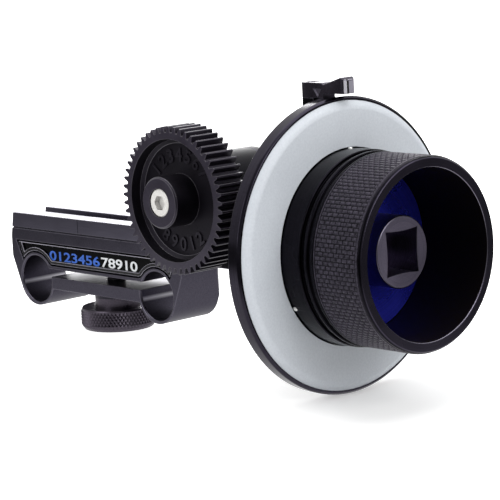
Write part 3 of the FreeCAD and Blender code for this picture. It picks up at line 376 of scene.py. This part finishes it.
def makeFinishes():
    made = {}
    made["clamp"] = clampAluminium()
    # bead-blasted aluminium, anodised black, on the gearbox and its foot: the same satin, but nearly black
    made["body"] = grained("blasted_anodised_body", {
        "dark": "100f13", "light": "19181d", "grain": 0.45, "cloud": 12, "smooth": 0.40, "rough": 0.50,
        "relief": 0.35, "depth": 0.03})[0]
    # knurled aluminium, anodised black: the rubbed crests of the diamonds are paler than a blasted face
    made["knob"] = grained("knurled_anodised_knob", {
        "dark": "454049", "light": "5a545e", "grain": 0.5, "cloud": 8, "smooth": 0.30, "rough": 0.40,
        "relief": 0.25, "depth": 0.02})[0]
    # turned aluminium, anodised black: rings from the lathe tool at a 0.25 mm feed, drawn at 0.5 mm to show
    wheelLook = {
        "dark": "35323c", "light": "46434e", "grain": 0.5, "cloud": 16, "smooth": 0.27, "rough": 0.36,
        "relief": 0.2, "depth": 0.02, "ring": 0.5, "ringRelief": 0.3, "ringDepth": 0.02, "ringTint": 0.1}
    made["carrier"] = latheMarks("turned_anodised_disc", {
        **wheelLook, "dark": "2c2932", "light": "3a3741", "smooth": 0.12, "rough": 0.18},
        "X", wheelAxis)[0]
    made["wheel"] = handwheelAluminium()
    # the hub is the same metal brushed on its face, so it reads violet-grey in the dark cup
    made["hub"] = latheMarks("brushed_anodised_hub", {
        **wheelLook, "dark": "827b90", "light": "948da2"}, "X", wheelAxis)[0]
    made["pointer"] = pointerAluminium()
    # painted highlight: the facet of the pointer's notch is given a paler grey
    made["notch"] = grained("notch_painted_highlight", {
        "dark": "6f6a78", "light": "86818f", "grain": 0.3, "cloud": 3, "smooth": 0.28, "rough": 0.36,
        "relief": 0.25, "depth": 0.02})[0]
    # turned aluminium, anodised royal blue: a deep metallic blue, and the dye glows a little in the shade
    made["blue"] = latheMarks("turned_anodised_blue", {
        "dark": "3c42f4", "light": "4c52ff", "grain": 0.4, "cloud": 9, "smooth": 0.24, "rough": 0.32,
        "relief": 0.15, "depth": 0.02, "ring": 0.4, "ringRelief": 0.25, "ringDepth": 0.02,
        "ringTint": 0.12}, "X", wheelAxis, metallic=0.9)[0]
    # stainless steel, ground bright: near white where it faces light
    made["steel"] = grained("bright_stainless_steel", {
        "dark": "b9b8b8", "light": "d3d2d0", "grain": 0.4, "cloud": 5, "smooth": 0.16, "rough": 0.28,
        "relief": 0.1, "depth": 0.02})[0]
    # the gear's screw was faced on a lathe and has faint rings; the shine of its bright steel is painted
    # as a near-white matt colour, a painted reflection that stays pale even away from the light
    made["gearScrew"] = latheMarks("turned_screw_painted_reflection", {
        "dark": "e9e7e3", "light": "f7f5f1", "grain": 0.4, "cloud": 5, "smooth": 0.18, "rough": 0.28,
        "relief": 0.1, "depth": 0.02, "ring": 0.35, "ringRelief": 0.2, "ringDepth": 0.02,
        "ringTint": 0.03}, "Y", gearAxis, metallic=0.05)[0]
    # painted highlight on the black anodising: the bevelled edges get a paler grey, so they read as pale
    # hairlines
    made["wornMetal"] = grained("anodised_edge_painted_highlight", {
        "dark": "4d4a55", "light": "67646f", "grain": 0.3, "cloud": 2.5, "smooth": 0.25, "rough": 0.35,
        "relief": 0.2, "depth": 0.01})[0]
    # the little catch pins are polished, and flash white against the black flange
    made["pins"] = grained("polished_steel_pins", {
        "dark": "dcdcda", "light": "eeeeec", "grain": 0.4, "cloud": 5, "smooth": 0.12, "rough": 0.2,
        "relief": 0.05, "depth": 0.01}, metallic=0.5)[0]
    # the washers under the knobs are steel, blued nearly black
    made["washer"] = grained("blued_steel_washer", {
        "dark": "2b2a30", "light": "3c3a42", "grain": 0.4, "cloud": 4, "smooth": 0.2, "rough": 0.3,
        "relief": 0.1, "depth": 0.02})[0]
    # alloy steel, black oxide: nearly black, with an oily sheen
    made["blackSteel"] = grained("black_oxide_steel", {
        "dark": "1b1a1f", "light": "2b2a30", "grain": 0.4, "cloud": 4, "smooth": 0.25, "rough": 0.38,
        "relief": 0.2, "depth": 0.02})[0]
    # sintered bronze, oiled: brown with darker pores
    made["bronze"] = grained("oiled_sintered_bronze", {
        "dark": "6e4f2b", "light": "a9824f", "grain": 0.4, "cloud": 5, "smooth": 0.3, "rough": 0.45,
        "relief": 0.3, "depth": 0.03})[0]
    # the studs are steel, a mid grey that glints along the crests of the thread
    made["stud"] = screwThread("rolled_thread_stud", {
        "dark": "55545a", "light": "77767c", "grain": 0.4, "cloud": 5, "smooth": 0.25, "rough": 0.35,
        "relief": 0.1, "depth": 0.02, "threadDepth": 0.3}, pitch=1.0, centre=(0, -0.8, 0))
    made["lockStud"] = screwThread("rolled_thread_lock_stud", {
        "dark": "77767c", "light": "9a999e", "grain": 0.4, "cloud": 5, "smooth": 0.25, "rough": 0.35,
        "relief": 0.1, "depth": 0.02, "threadDepth": 0.3}, pitch=0.8, centre=(28.5, 0, 0))
    # acetal, machined: a close black plastic with a soft waxy sheen
    violet = linear(violetSheen)
    made["acetal"] = grained("machined_black_acetal", {
        "dark": "08070a", "light": "110f14", "grain": 0.5, "cloud": 9, "smooth": 0.30, "rough": 0.40,
        "relief": 0.3, "depth": 0.03}, 0.0, {"IOR": 1.48, "Specular IOR Level": 0.8,
                                             "Specular Tint": violet})[0]
    # its front was skimmed last, so the flat of the rim and the boss's end are a paler satin
    made["acetalFace"] = grained("skimmed_acetal_face", {
        "dark": "1d1a22", "light": "292530", "grain": 0.5, "cloud": 7, "smooth": 0.30, "rough": 0.40,
        "relief": 0.3, "depth": 0.03}, 0.0, {"IOR": 1.48, "Specular IOR Level": 1.0,
                                             "Specular Tint": violet})[0]
    # painted highlight: its bevelled edges are given a paler grey, so every tooth has a thin grey outline
    made["acetalEdgeHighlight"] = grained("acetal_edge_painted_highlight", {
        "dark": "2f2a36", "light": "423c4b", "grain": 0.3, "cloud": 3, "smooth": 0.28, "rough": 0.36,
        "relief": 0.3, "depth": 0.02}, 0.0, {"IOR": 1.48, "Specular IOR Level": 1.0})[0]
    # painted shade: the same acetal given a darker, duller colour in the recess, so the recess stays black
    made["acetalShadedRecess"] = grained("acetal_recess_painted_shade", {
        "dark": "060507", "light": "0d0b10", "grain": 0.5, "cloud": 6, "smooth": 0.35, "rough": 0.5,
        "relief": 0.4, "depth": 0.04}, 0.0, {"IOR": 1.48, "Specular IOR Level": 0.4,
                                             "Specular Tint": violet})[0]
    made["rubber"] = ribbedRubber()
    # matt white acetate for pencil marks: pale cool grey, faintly mottled by handling
    made["marking"] = grained("matt_marking_acetate", {
        "dark": "c1c6cd", "light": "cfd4da", "grain": 0.6, "cloud": 18, "smooth": 0.42, "rough": 0.55,
        "relief": 0.12, "depth": 0.02}, 0.0, {"IOR": 1.49})[0]
    # gloss black printed plastic: dark and clear, with the least orange peel
    made["badge"] = grained("gloss_black_badge", {
        "dark": "010102", "light": "030304", "grain": 0.8, "cloud": 6, "smooth": 0.14, "rough": 0.2,
        "relief": 0.08, "depth": 0.02}, 0.0, {"IOR": 1.49, "Specular IOR Level": 0.06})[0]
    # the badge's frame: the same plastic with a satin edge that catches the light along its wave
    made["bezel"] = grained("satin_black_bezel", {
        "dark": "0c0b0e", "light": "141317", "grain": 0.5, "cloud": 6, "smooth": 0.25, "rough": 0.35,
        "relief": 0.15, "depth": 0.02}, 0.0, {"IOR": 1.49, "Specular IOR Level": 0.3})[0]
    # that edge carries a painted highlight: a pale grey line along the wave
    made["bezelEdgeHighlight"] = grained("bezel_edge_painted_highlight", {
        "dark": "8d8a96", "light": "a9a6b2", "grain": 0.5, "cloud": 6, "smooth": 0.25, "rough": 0.35,
        "relief": 0.15, "depth": 0.02}, 0.0, {"IOR": 1.49})[0]
    # screen-printed ink: flat and opaque, thin at the edges of its grain
    made["blueInk"] = grained("blue_screen_ink", {
        "dark": "2453b4", "light": "3f74d8", "grain": 0.5, "cloud": 5, "smooth": 0.45, "rough": 0.6,
        "relief": 0.1, "depth": 0.01}, 0.0, {"IOR": 1.45})[0]
    made["whiteInk"] = grained("white_screen_ink", {
        "dark": "dfe2e6", "light": "f2f4f6", "grain": 0.5, "cloud": 5, "smooth": 0.45, "rough": 0.6,
        "relief": 0.1, "depth": 0.01}, 0.0, {"IOR": 1.45})[0]
    print("finishes made:", len(made))
    return made


finishes = makeFinishes()

nodeFinishes = {
    "clamp": ("clamp_body",),
    "badge": ("badge_label",),
    "bezel": ("badge_bezel",),
    "bronze": ("screw_insert", "output_front_bush", "output_rear_bush", "wheel_left_bush",
               "wheel_inner_bush", "wheel_outer_bush"),
    "washer": ("knob_washer", "lock_washer"),
    "steel": ("rail_nut", "wheel_shaft", "wheel_pinion", "shaft_clip", "wave_washer",
              "output_shaft", "output_pinion", "drive_pins"),
    "gearScrew": ("gear_screw",),
    "pins": ("ring_catch_pins",),
    "stud": ("clamp_stud",),
    "lockStud": ("lock_stud",),
    "knob": ("clamp_knob", "lock_knob"),
    "body": ("bridge_foot", "gearbox_housing", "gearbox_cover", "neck", "index_arm", "gear_adapter"),
    "blackSteel": ("bridge_screws", "cover_screws", "carrier_screws", "pointer_screw", "index_screw",
                   "hub_screw"),
    "pointer": ("index_pointer",),
    "carrier": ("carrier_disc",),
    "wheel": ("handwheel_body",),
    "hub": ("drive_hub",),
    "marking": ("marking_ring",),
    "rubber": ("grip_sleeve",),
    "blue": ("cup_floor_disc",),
    "acetal": ("drive_gear",),
}
for finishName, members in nodeFinishes.items():
    for member in members:
        nodes[member].data.materials.clear()
        nodes[member].data.materials.append(finishes[finishName])
finishOf = {member: finishName for finishName, members in nodeFinishes.items() for member in members}


# machined parts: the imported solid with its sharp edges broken

brokenEdges = {  # node: body, material slot, width of the broken edge in mm
    "clamp_body": ("clamp", "clamp_anodised", 0.25),
    "badge_bezel": ("clamp", "badge_plastic", 0.15),
    "knob_washer": ("washer", "steel", 0.1),
    "bridge_foot": ("bridge", "body_anodised", 0.2),
    "gearbox_housing": ("bridge", "body_anodised", 0.3),
    "gearbox_cover": ("bridge", "body_anodised", 0.25),
    "neck": ("bridge", "body_anodised", 0.15),
    "lock_washer": ("bridge_washer", "steel", 0.1),
    "index_arm": ("index", "body_anodised", 0.15),
    "index_pointer": ("index", "pointer_anodised", 0.15),
    "carrier_disc": ("handwheel", "wheel_anodised", 0.12),
    "marking_ring": ("handwheel", "marking_plastic", 0.12),
    "handwheel_body": ("handwheel", "wheel_anodised", 0.08),
    "cup_floor_disc": ("handwheel", "blue_anodised", 0.1),
    "drive_hub": ("handwheel", "wheel_anodised", 0.12),
    "gear_adapter": ("output", "body_anodised", 0.1),
    "drive_gear": ("output", "gear_acetal", 0.1),
    "gear_screw": ("output", "steel", 0.08),
}

# finishes whose bevels get a second, paler material: a painted highlight along every edge
edgeHighlights = {"clamp": "wornMetal", "body": "wornMetal", "pointer": "wornMetal", "hub": "wornMetal",
             "acetal": "acetalEdgeHighlight", "bezel": "bezelEdgeHighlight"}
roundedEdges = {  # node: where its edges get a larger round first, and its size, all in mm
    "marking_ring": {"past": 106.0, "outside": 39.0, "size": 0.9},
    "handwheel_body": {"past": 135.6, "outside": 27.2, "size": 0.45},
}
edgeWork = {"flatBelow": 0.5, "roundSteps": 4, "bevelSteps": 2, "bevelAbove": 32, "smoothBelow": 50}


def breakEdges(nodeName, body, width):
    takeUp(nodes[nodeName])
    bpy.ops.object.duplicate()
    piece = bpy.context.object
    piece.parent = None
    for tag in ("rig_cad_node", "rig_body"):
        del piece[tag]
    openEdit(piece)
    bpy.ops.mesh.select_all(action="SELECT")
    bpy.ops.mesh.remove_doubles(threshold=weld)
    bpy.ops.mesh.dissolve_limited(angle_limit=math.radians(edgeWork["flatBelow"]))
    if nodeName in roundedEdges:
        where = roundedEdges[nodeName]

        def onCorner(point):
            away = math.hypot(point.y, point.z - wheelAxis.z)
            return point.x > where["past"] and away > where["outside"]

        bpy.ops.mesh.select_mode(type="EDGE")
        pickEdges(piece, lambda a, b: onCorner(a / mm) and onCorner(b / mm))
        bpy.ops.mesh.bevel(offset=where["size"] * mm, segments=edgeWork["roundSteps"], clamp_overlap=False)
    closeEdit()
    finish = finishOf[nodeName]
    piece.data.materials.clear()
    for key in (finish, edgeHighlights.get(finish)):
        if key:
            piece.data.materials.append(finishes[key])
    useModifier(piece, "BEVEL", {
        "width": width * mm, "segments": edgeWork["bevelSteps"], "limit_method": "ANGLE",
        "angle_limit": math.radians(edgeWork["bevelAbove"]), "use_clamp_overlap": False,
        "material": 1 if finish in edgeHighlights else -1})
    smoothBelow(piece, edgeWork["smoothBelow"])
    useModifier(piece, "WEIGHTED_NORMAL", {"keep_sharp": True, "mode": "FACE_AREA"})
    hang(piece, nodeName + "_finished", None, body, (nodeName,))
    print("edges broken:", nodeName, len(piece.data.polygons))


for nodeName, (body, slotName, width) in brokenEdges.items():
    breakEdges(nodeName, body, width)


def refinish(piece, key, rule):  # give the faces that the rule picks another finish
    piece.data.materials.append(finishes[key])
    openEdit(piece)
    pickFaces(piece, rule)
    piece.active_material_index = len(piece.data.materials) - 1
    bpy.ops.object.material_slot_assign()
    closeEdit()
    print("refinished:", piece.name)


def fromAxis(point, axis):
    return math.hypot(point.x / mm - axis.x, point.z / mm - axis.z)


# lengths in mm; the other values are the share of a face's normal that points along Y
recess = {"radius": 18.4, "floorTo": 16.7, "front": -23.0, "bossFront": -28.35, "flat": -0.99, "side": 0.4,
          "chamfer": -0.7, "chamferHalf": 0.08}
socket = {"radius": 2.35, "front": -28.65, "side": 0.5}
notch = {"face": -2.15, "faceHalf": 0.03, "flat": -0.9}


def inRecess(point, normal):
    away, deep = fromAxis(point, gearAxis), point.y / mm
    floor = away < recess["floorTo"] and normal.y < recess["flat"] and deep > recess["front"]
    wall = away < recess["radius"] and abs(normal.y) < recess["side"] and deep > recess["bossFront"]
    slanted = abs(normal.y - recess["chamfer"]) < recess["chamferHalf"]
    chamfer = away < recess["radius"] and slanted and deep > recess["front"]
    return floor or wall or chamfer


# painted shade: the gear's recess gets the darker, duller acetal
refinish(bpy.data.objects["drive_gear_finished"], "acetalShadedRecess", inRecess)
refinish(bpy.data.objects["drive_gear_finished"], "acetalFace", lambda point, normal: (
    normal.y < recess["flat"] and not inRecess(point, normal)))
refinish(bpy.data.objects["gear_screw_finished"], "steel", lambda point, normal: (
    fromAxis(point, gearAxis) < socket["radius"] and abs(normal.y) < socket["side"]
    and point.y / mm > socket["front"]))
# painted highlight on the facet of the pointer's notch
refinish(bpy.data.objects["index_pointer_finished"], "notch", lambda point, normal: (
    abs(point.y / mm - notch["face"]) < notch["faceHalf"] and normal.y < notch["flat"]))


# turned pieces: one ring after another, extruded and scaled about the axis

def turnPiece(axis, centre, segments, rings):  # rings are (place along the axis, radius) in mm
    lean = {"X": (0, math.pi / 2, 0), "Z": (0, 0, 0)}[axis]
    along = Vector((1, 0, 0)) if axis == "X" else Vector((0, 0, 1))
    takeUp()
    bpy.ops.mesh.primitive_circle_add(vertices=segments, radius=rings[0][1] * mm, rotation=lean,
                                      location=(centre + along * rings[0][0]) * mm)
    piece = bpy.context.object
    settle(piece)
    openEdit(piece, "EDGE")
    bpy.ops.mesh.select_all(action="SELECT")
    for last, ring in zip(rings, rings[1:]):
        bpy.ops.mesh.extrude_region_move(TRANSFORM_OT_translate={"value": along * (ring[0] - last[0]) * mm})
        grow = ring[1] / last[1]
        bpy.ops.transform.resize(value=[1 if part else grow for part in along],
                                 center_override=(centre + along * ring[0]) * mm)
    bpy.ops.mesh.select_all(action="SELECT")
    bpy.ops.mesh.remove_doubles(threshold=weld)
    bpy.ops.mesh.fill_holes(sides=0)
    bpy.ops.mesh.select_all(action="SELECT")
    bpy.ops.mesh.normals_make_consistent(inside=False)
    closeEdit()
    return piece


# knobs with a diamond knurl

clampKnob = {"centre": (0, -0.8, 0), "segments": 64, "low": [(-13.95, 7.0), (-13.95, 11.1)],
             "band": (-13.05, -7.6), "rows": 3, "crest": 12.1, "rise": 0.38,
             "high": [(-7.15, 11.55), (-7.15, 7.25), (-3.95, 7.25)]}
lockKnob = {"centre": (28.5, 0, 0), "segments": 30, "low": [(27.2, 2.6), (27.2, 4.8)], "band": (27.7, 33.5),
            "rows": 3, "crest": 5.4, "rise": 0.3, "high": [(34.2, 4.8), (34.2, 3.0), (33.9, 2.7)]}

knurl = {"edge": 0.01, "rootShare": 0.985, "upright": 0.1, "endShare": 0.4, "smoothBelow": 20}


def knurledKnob(knob):
    low, high = knob["band"]
    root = knob["crest"] - knob["rise"]
    step = (high - low) / knob["rows"]
    band = [(low + step * row, root) for row in range(knob["rows"] + 1)]
    piece = turnPiece("Z", Vector(knob["centre"]), knob["segments"], knob["low"] + band + knob["high"])
    middle = Vector(knob["centre"]) * mm
    edge = knurl["edge"] * mm
    end = step * mm * knurl["endShare"]

    def onBand(point):
        away = math.hypot(point.x - middle.x, point.y - middle.y)
        return low * mm - edge < point.z < high * mm + edge and away > root * mm * knurl["rootShare"]

    openEdit(piece)
    pickFaces(piece, lambda point, normal: onBand(point) and abs(normal.z) < knurl["upright"])
    bpy.ops.mesh.poke()
    bpy.ops.mesh.select_mode(type="EDGE")

    def firstGrid(a, b):  # the straight lines that the poke left between the faces
        upright = math.hypot(a.x - b.x, a.y - b.y) < edge
        level = abs(a.z - b.z) < edge
        inside = low * mm + edge < (a.z + b.z) / 2 < high * mm - edge
        return onBand((a + b) / 2) and inside and (upright or level)

    pickEdges(piece, firstGrid)
    bpy.ops.mesh.dissolve_edges(use_verts=False)
    bpy.ops.mesh.select_mode(type="FACE")
    pickFaces(piece, lambda point, normal: onBand(point) and abs(normal.z) < knurl["upright"]
              and low * mm + end < point.z < high * mm - end)
    bpy.ops.mesh.poke(offset=knob["rise"] * mm)
    closeEdit()
    smoothBelow(piece, knurl["smoothBelow"])
    return piece


hang(knurledKnob(clampKnob), "clamp_knob_knurled", finishes["knob"], "clamp_screw",
     ("clamp_knob",))
hang(knurledKnob(lockKnob), "lock_knob_knurled", finishes["knob"], "bridge_lock",
     ("lock_knob",))
print("knobs knurled")


# grip sleeve with staggered ribs

grip = {"columns": 140, "halfRows": 15, "back": 117.9, "front": 134.7, "crest": 27.7, "bore": 26.2,
        "margin": 0.6, "corner": 0.25, "rise": 0.28, "gap": 0.2, "flank": 0.1, "edge": 0.01,
        "rootShare": 0.99, "upright": 0.1, "shift": 0.25, "insets": ((1.0, 0.7), (0.6, 0.3)),
        "smoothBelow": 42}


def ribbedGrip():
    root = grip["crest"] - grip["rise"]
    flank = grip["flank"]
    first = grip["back"] + grip["margin"] + flank
    last = grip["front"] - grip["margin"] - flank
    step = (last - first) / grip["halfRows"]
    rows = [(first + step * row, root) for row in range(grip["halfRows"] + 1)]
    rings = [(grip["back"], grip["bore"]), (grip["back"], grip["crest"] - grip["corner"]),
             (grip["back"] + grip["corner"], grip["crest"]), (first - flank, grip["crest"]), *rows,
             (last + flank, grip["crest"]), (grip["front"] - grip["corner"], grip["crest"]),
             (grip["front"], grip["crest"] - grip["corner"]), (grip["front"], grip["bore"]),
             (grip["back"], grip["bore"])]
    piece = turnPiece("X", wheelAxis, grip["columns"], rings)
    middle = wheelAxis * mm
    columnAngle = math.tau / grip["columns"]
    floorAt = root * mm * grip["rootShare"]

    def ringEdge(a, b):  # every second cross line goes, one row further on in the next column
        point = (a + b) / 2
        away = math.hypot(point.y, point.z - middle.z)
        row = (point.x / mm - first) / step
        if abs(a.x - b.x) > grip["edge"] * mm or away < floorAt or not 0 < round(row) < grip["halfRows"]:
            return False
        column = int(math.floor(math.atan2(point.y, point.z - middle.z) / columnAngle + grip["shift"]))
        return (round(row) + column) % 2 == 1

    def onRibs(point, normal):
        away = math.hypot(point.y, point.z - middle.z)
        return abs(normal.x) < grip["upright"] and first * mm < point.x < last * mm and away > floorAt

    openEdit(piece, "EDGE")
    pickEdges(piece, ringEdge)
    bpy.ops.mesh.dissolve_edges(use_verts=False)
    bpy.ops.mesh.select_mode(type="FACE")
    pickFaces(piece, onRibs)
    for gapShare, riseShare in grip["insets"]:
        bpy.ops.mesh.inset(thickness=grip["gap"] * gapShare * mm, depth=grip["rise"] * riseShare * mm,
                           use_individual=True)
    closeEdit()
    smoothBelow(piece, grip["smoothBelow"])
    return piece


hang(ribbedGrip(), "grip_ribbed", finishes["rubber"], "handwheel", ("grip_sleeve",))
print("grip ribbed")


# raised figures on the gear and printed figures on the badge

bolder = 0.018  # share of a figure's height that its outline grows by


def figure(text, height, thickness):  # a mesh at the origin, lying flat, of that height in mm
    takeUp()
    bpy.ops.object.text_add()
    label = bpy.context.object
    label.data.body = text
    label.data.align_x = "CENTER"
    label.data.align_y = "CENTER"
    label.data.size = height * mm
    label.data.extrude = thickness / 2 * mm
    label.data.offset = height * mm * bolder
    bpy.ops.object.convert(target="MESH")
    label = bpy.context.object
    grow = height * mm / label.dimensions.y
    label.scale = (grow, grow, 1)
    settle(label)
    takeUp(label)
    bpy.ops.object.origin_set(type="ORIGIN_GEOMETRY", center="BOUNDS")
    label.location = (0, 0, 0)
    settle(label)
    return label


gearFigures = {"top": "1234567", "bottom": "89012", "radius": 13.3, "step": 17.0, "height": 4.1,
               "proud": 0.35, "floor": -20.0}


def numberGear():
    labels = []
    for text, turn in ((gearFigures["top"], 0), (gearFigures["bottom"], 180)):
        for place, letter in enumerate(text):
            offset = (place - (len(text) - 1) / 2) * gearFigures["step"] * (-1 if turn else 1)
            angle = math.radians(turn + offset)
            label = figure(letter, gearFigures["height"], gearFigures["proud"] * 2)
            label.rotation_euler = (math.pi / 2, angle + math.radians(turn), 0)
            outward = Vector((math.sin(angle), 0, math.cos(angle)))
            label.location = (gearAxis + outward * gearFigures["radius"]
                              + Vector((0, gearFigures["floor"], 0))) * mm
            settle(label)
            labels.append(label)
    takeUp(*labels)
    bpy.ops.object.join()
    return bpy.context.object


hang(numberGear(), "gear_figures", finishes["acetal"], "output")

badgePrint = {"blue": ("0123456", -23.3, 2.3), "white": ("78910", 3.1, 20.8), "height": 3.2, "middle": 8.25,
              "face": -9.15, "thick": 0.12}


def printBadge(text, left, right):
    label = figure(text, badgePrint["height"], badgePrint["thick"])
    wide = (right - left) * mm / label.dimensions.x
    label.scale = (wide, 1, 1)
    label.rotation_euler = (math.pi / 2, 0, 0)
    label.location = Vector(((left + right) / 2, badgePrint["face"], badgePrint["middle"])) * mm
    settle(label)
    return label


hang(printBadge(*badgePrint["blue"]), "badge_figures_blue", finishes["blueInk"], "clamp")
hang(printBadge(*badgePrint["white"]), "badge_figures_white", finishes["whiteInk"], "clamp")
print("figures made")


# floor, world and lamps

studio = {
    "floorPoint": (-11.2, 0, -14.0), "floorTilt": 4.33, "floorSize": 12.0, "floorWhite": "ececec",
    "floorLift": 0.33, "liftCentre": (0.136, 0.003), "liftFrom": 0.02, "liftTo": 0.085,
    "floorGlow": (0.06, 0.0), "floorNear": 0.11, "floorFar": 0.22, "floorDim": 0.12,
    "around": 0.5, "dim": 0.25, "brightSide": (-0.45, 0.6, 0.66), "roomFrom": -0.3, "roomTo": 0.7,
    "lampAim": (0.05, 0, 0.02), "lamps": {
        "overhead": {"place": (0.05, 0.1, 1.0), "size": 1.1, "power": 7.0},
        "behind": {"place": (-0.85, 0.8, 0.26), "size": 0.8, "power": 8.0},
        "front": {"place": (-0.1, -1.1, 0.45), "size": 0.7, "power": 3.0},
        "side": {"place": (1.2, 0.1, 0.6), "size": 0.8, "power": 7.0}}}


def makeStudio():
    takeUp()
    bpy.ops.mesh.primitive_plane_add(size=studio["floorSize"], location=Vector(studio["floorPoint"]) * mm,
                                     rotation=(0, math.radians(studio["floorTilt"]), 0))
    floor = bpy.context.object
    floor.name = "studio_floor"
    paper = bpy.data.materials.new("white_paper_sweep")
    paper.use_nodes = True
    tree = paper.node_tree
    tree.nodes.clear()
    matt = addNode(tree, "BsdfDiffuse", {"Color": linear(studio["floorWhite"])})
    seen = addNode(tree, "LightPath")
    place = addNode(tree, "TexCoord").outputs["Object"]
    # painted light: to the camera the paper gets a glow that grows away from the wheel, so it burns out
    # to white there and keeps the shadow beside it
    out = addNode(tree, "VectorMath", {"operation": "DISTANCE", 1: (*studio["liftCentre"], 0.0)}, {0: place})
    rise = addNode(tree, "MapRange", {"From Min": studio["liftFrom"], "From Max": studio["liftTo"],
                                      "To Min": studio["floorLift"], "To Max": 1.0},
                                      {"Value": out.outputs["Value"]})
    lift = addNode(tree, "Math", {"operation": "MULTIPLY"},
                   {0: seen.outputs["Is Camera Ray"], 1: rise.outputs[0]})
    glow = addNode(tree, "Emission", {"Color": linear("ffffff")}, {"Strength": lift.outputs[0]})
    both = addNode(tree, "AddShader", links={0: matt.outputs[0], 1: glow.outputs[0]})
    # in reflections the paper is white near the part and dim further off
    away = addNode(tree, "VectorMath", {"operation": "DISTANCE", 1: (*studio["floorGlow"], 0.0)}, {0: place})
    level = addNode(tree, "MapRange", {"From Min": studio["floorNear"], "From Max": studio["floorFar"],
                                       "To Min": 1.0, "To Max": studio["floorDim"]},
                                       {"Value": away.outputs["Value"]})
    shine = addNode(tree, "Emission", {"Color": linear("ffffff")}, {"Strength": level.outputs[0]})
    paperLook = addNode(tree, "MixShader", links={0: seen.outputs["Is Glossy Ray"], 1: both.outputs[0],
                                                  2: shine.outputs[0]})
    addNode(tree, "OutputMaterial", links={"Surface": paperLook.outputs[0]})
    floor.data.materials.append(paper)

    world = bpy.data.worlds.new("white_studio")
    world.use_nodes = True
    bpy.context.scene.world = world
    tree = world.node_tree
    tree.nodes.clear()
    seen = addNode(tree, "LightPath")
    shown = addNode(tree, "Math", {"operation": "MAXIMUM"},
                    {0: seen.outputs["Is Camera Ray"], 1: seen.outputs["Is Transmission Ray"]})
    level = addNode(tree, "MapRange", {"To Min": studio["around"], "To Max": 1.0},
                    {"Value": shown.outputs[0]})
    # reflections see white behind and above, and a dim room in front
    heading = addNode(tree, "TexCoord").outputs["Generated"]
    towards = addNode(tree, "VectorMath", {"operation": "DOT_PRODUCT",
                                           1: Vector(studio["brightSide"]).normalized()}, {0: heading})
    room = addNode(tree, "MapRange", {"From Min": studio["roomFrom"], "From Max": studio["roomTo"],
                                      "To Min": studio["dim"], "To Max": 1.0},
                                      {"Value": towards.outputs["Value"]})
    final = addNode(tree, "Mix", links={0: seen.outputs["Is Glossy Ray"], 2: level.outputs[0],
                                        3: room.outputs[0]})
    sky = addNode(tree, "Background", {"Color": linear("ffffff")}, {"Strength": final.outputs[0]})
    addNode(tree, "OutputWorld", links={"Surface": sky.outputs[0]})

    for name, lamp in studio["lamps"].items():
        place = Vector(lamp["place"])
        facing = (Vector(studio["lampAim"]) - place).to_track_quat("-Z", "Y").to_euler()
        takeUp()
        bpy.ops.object.light_add(type="AREA", location=place, rotation=facing)
        light = bpy.context.object
        light.name = "lamp_" + name
        light.data.shape = "SQUARE"
        light.data.size = lamp["size"]
        light.data.energy = lamp["power"]
        light.visible_camera = False
    print("studio lit")


makeStudio()
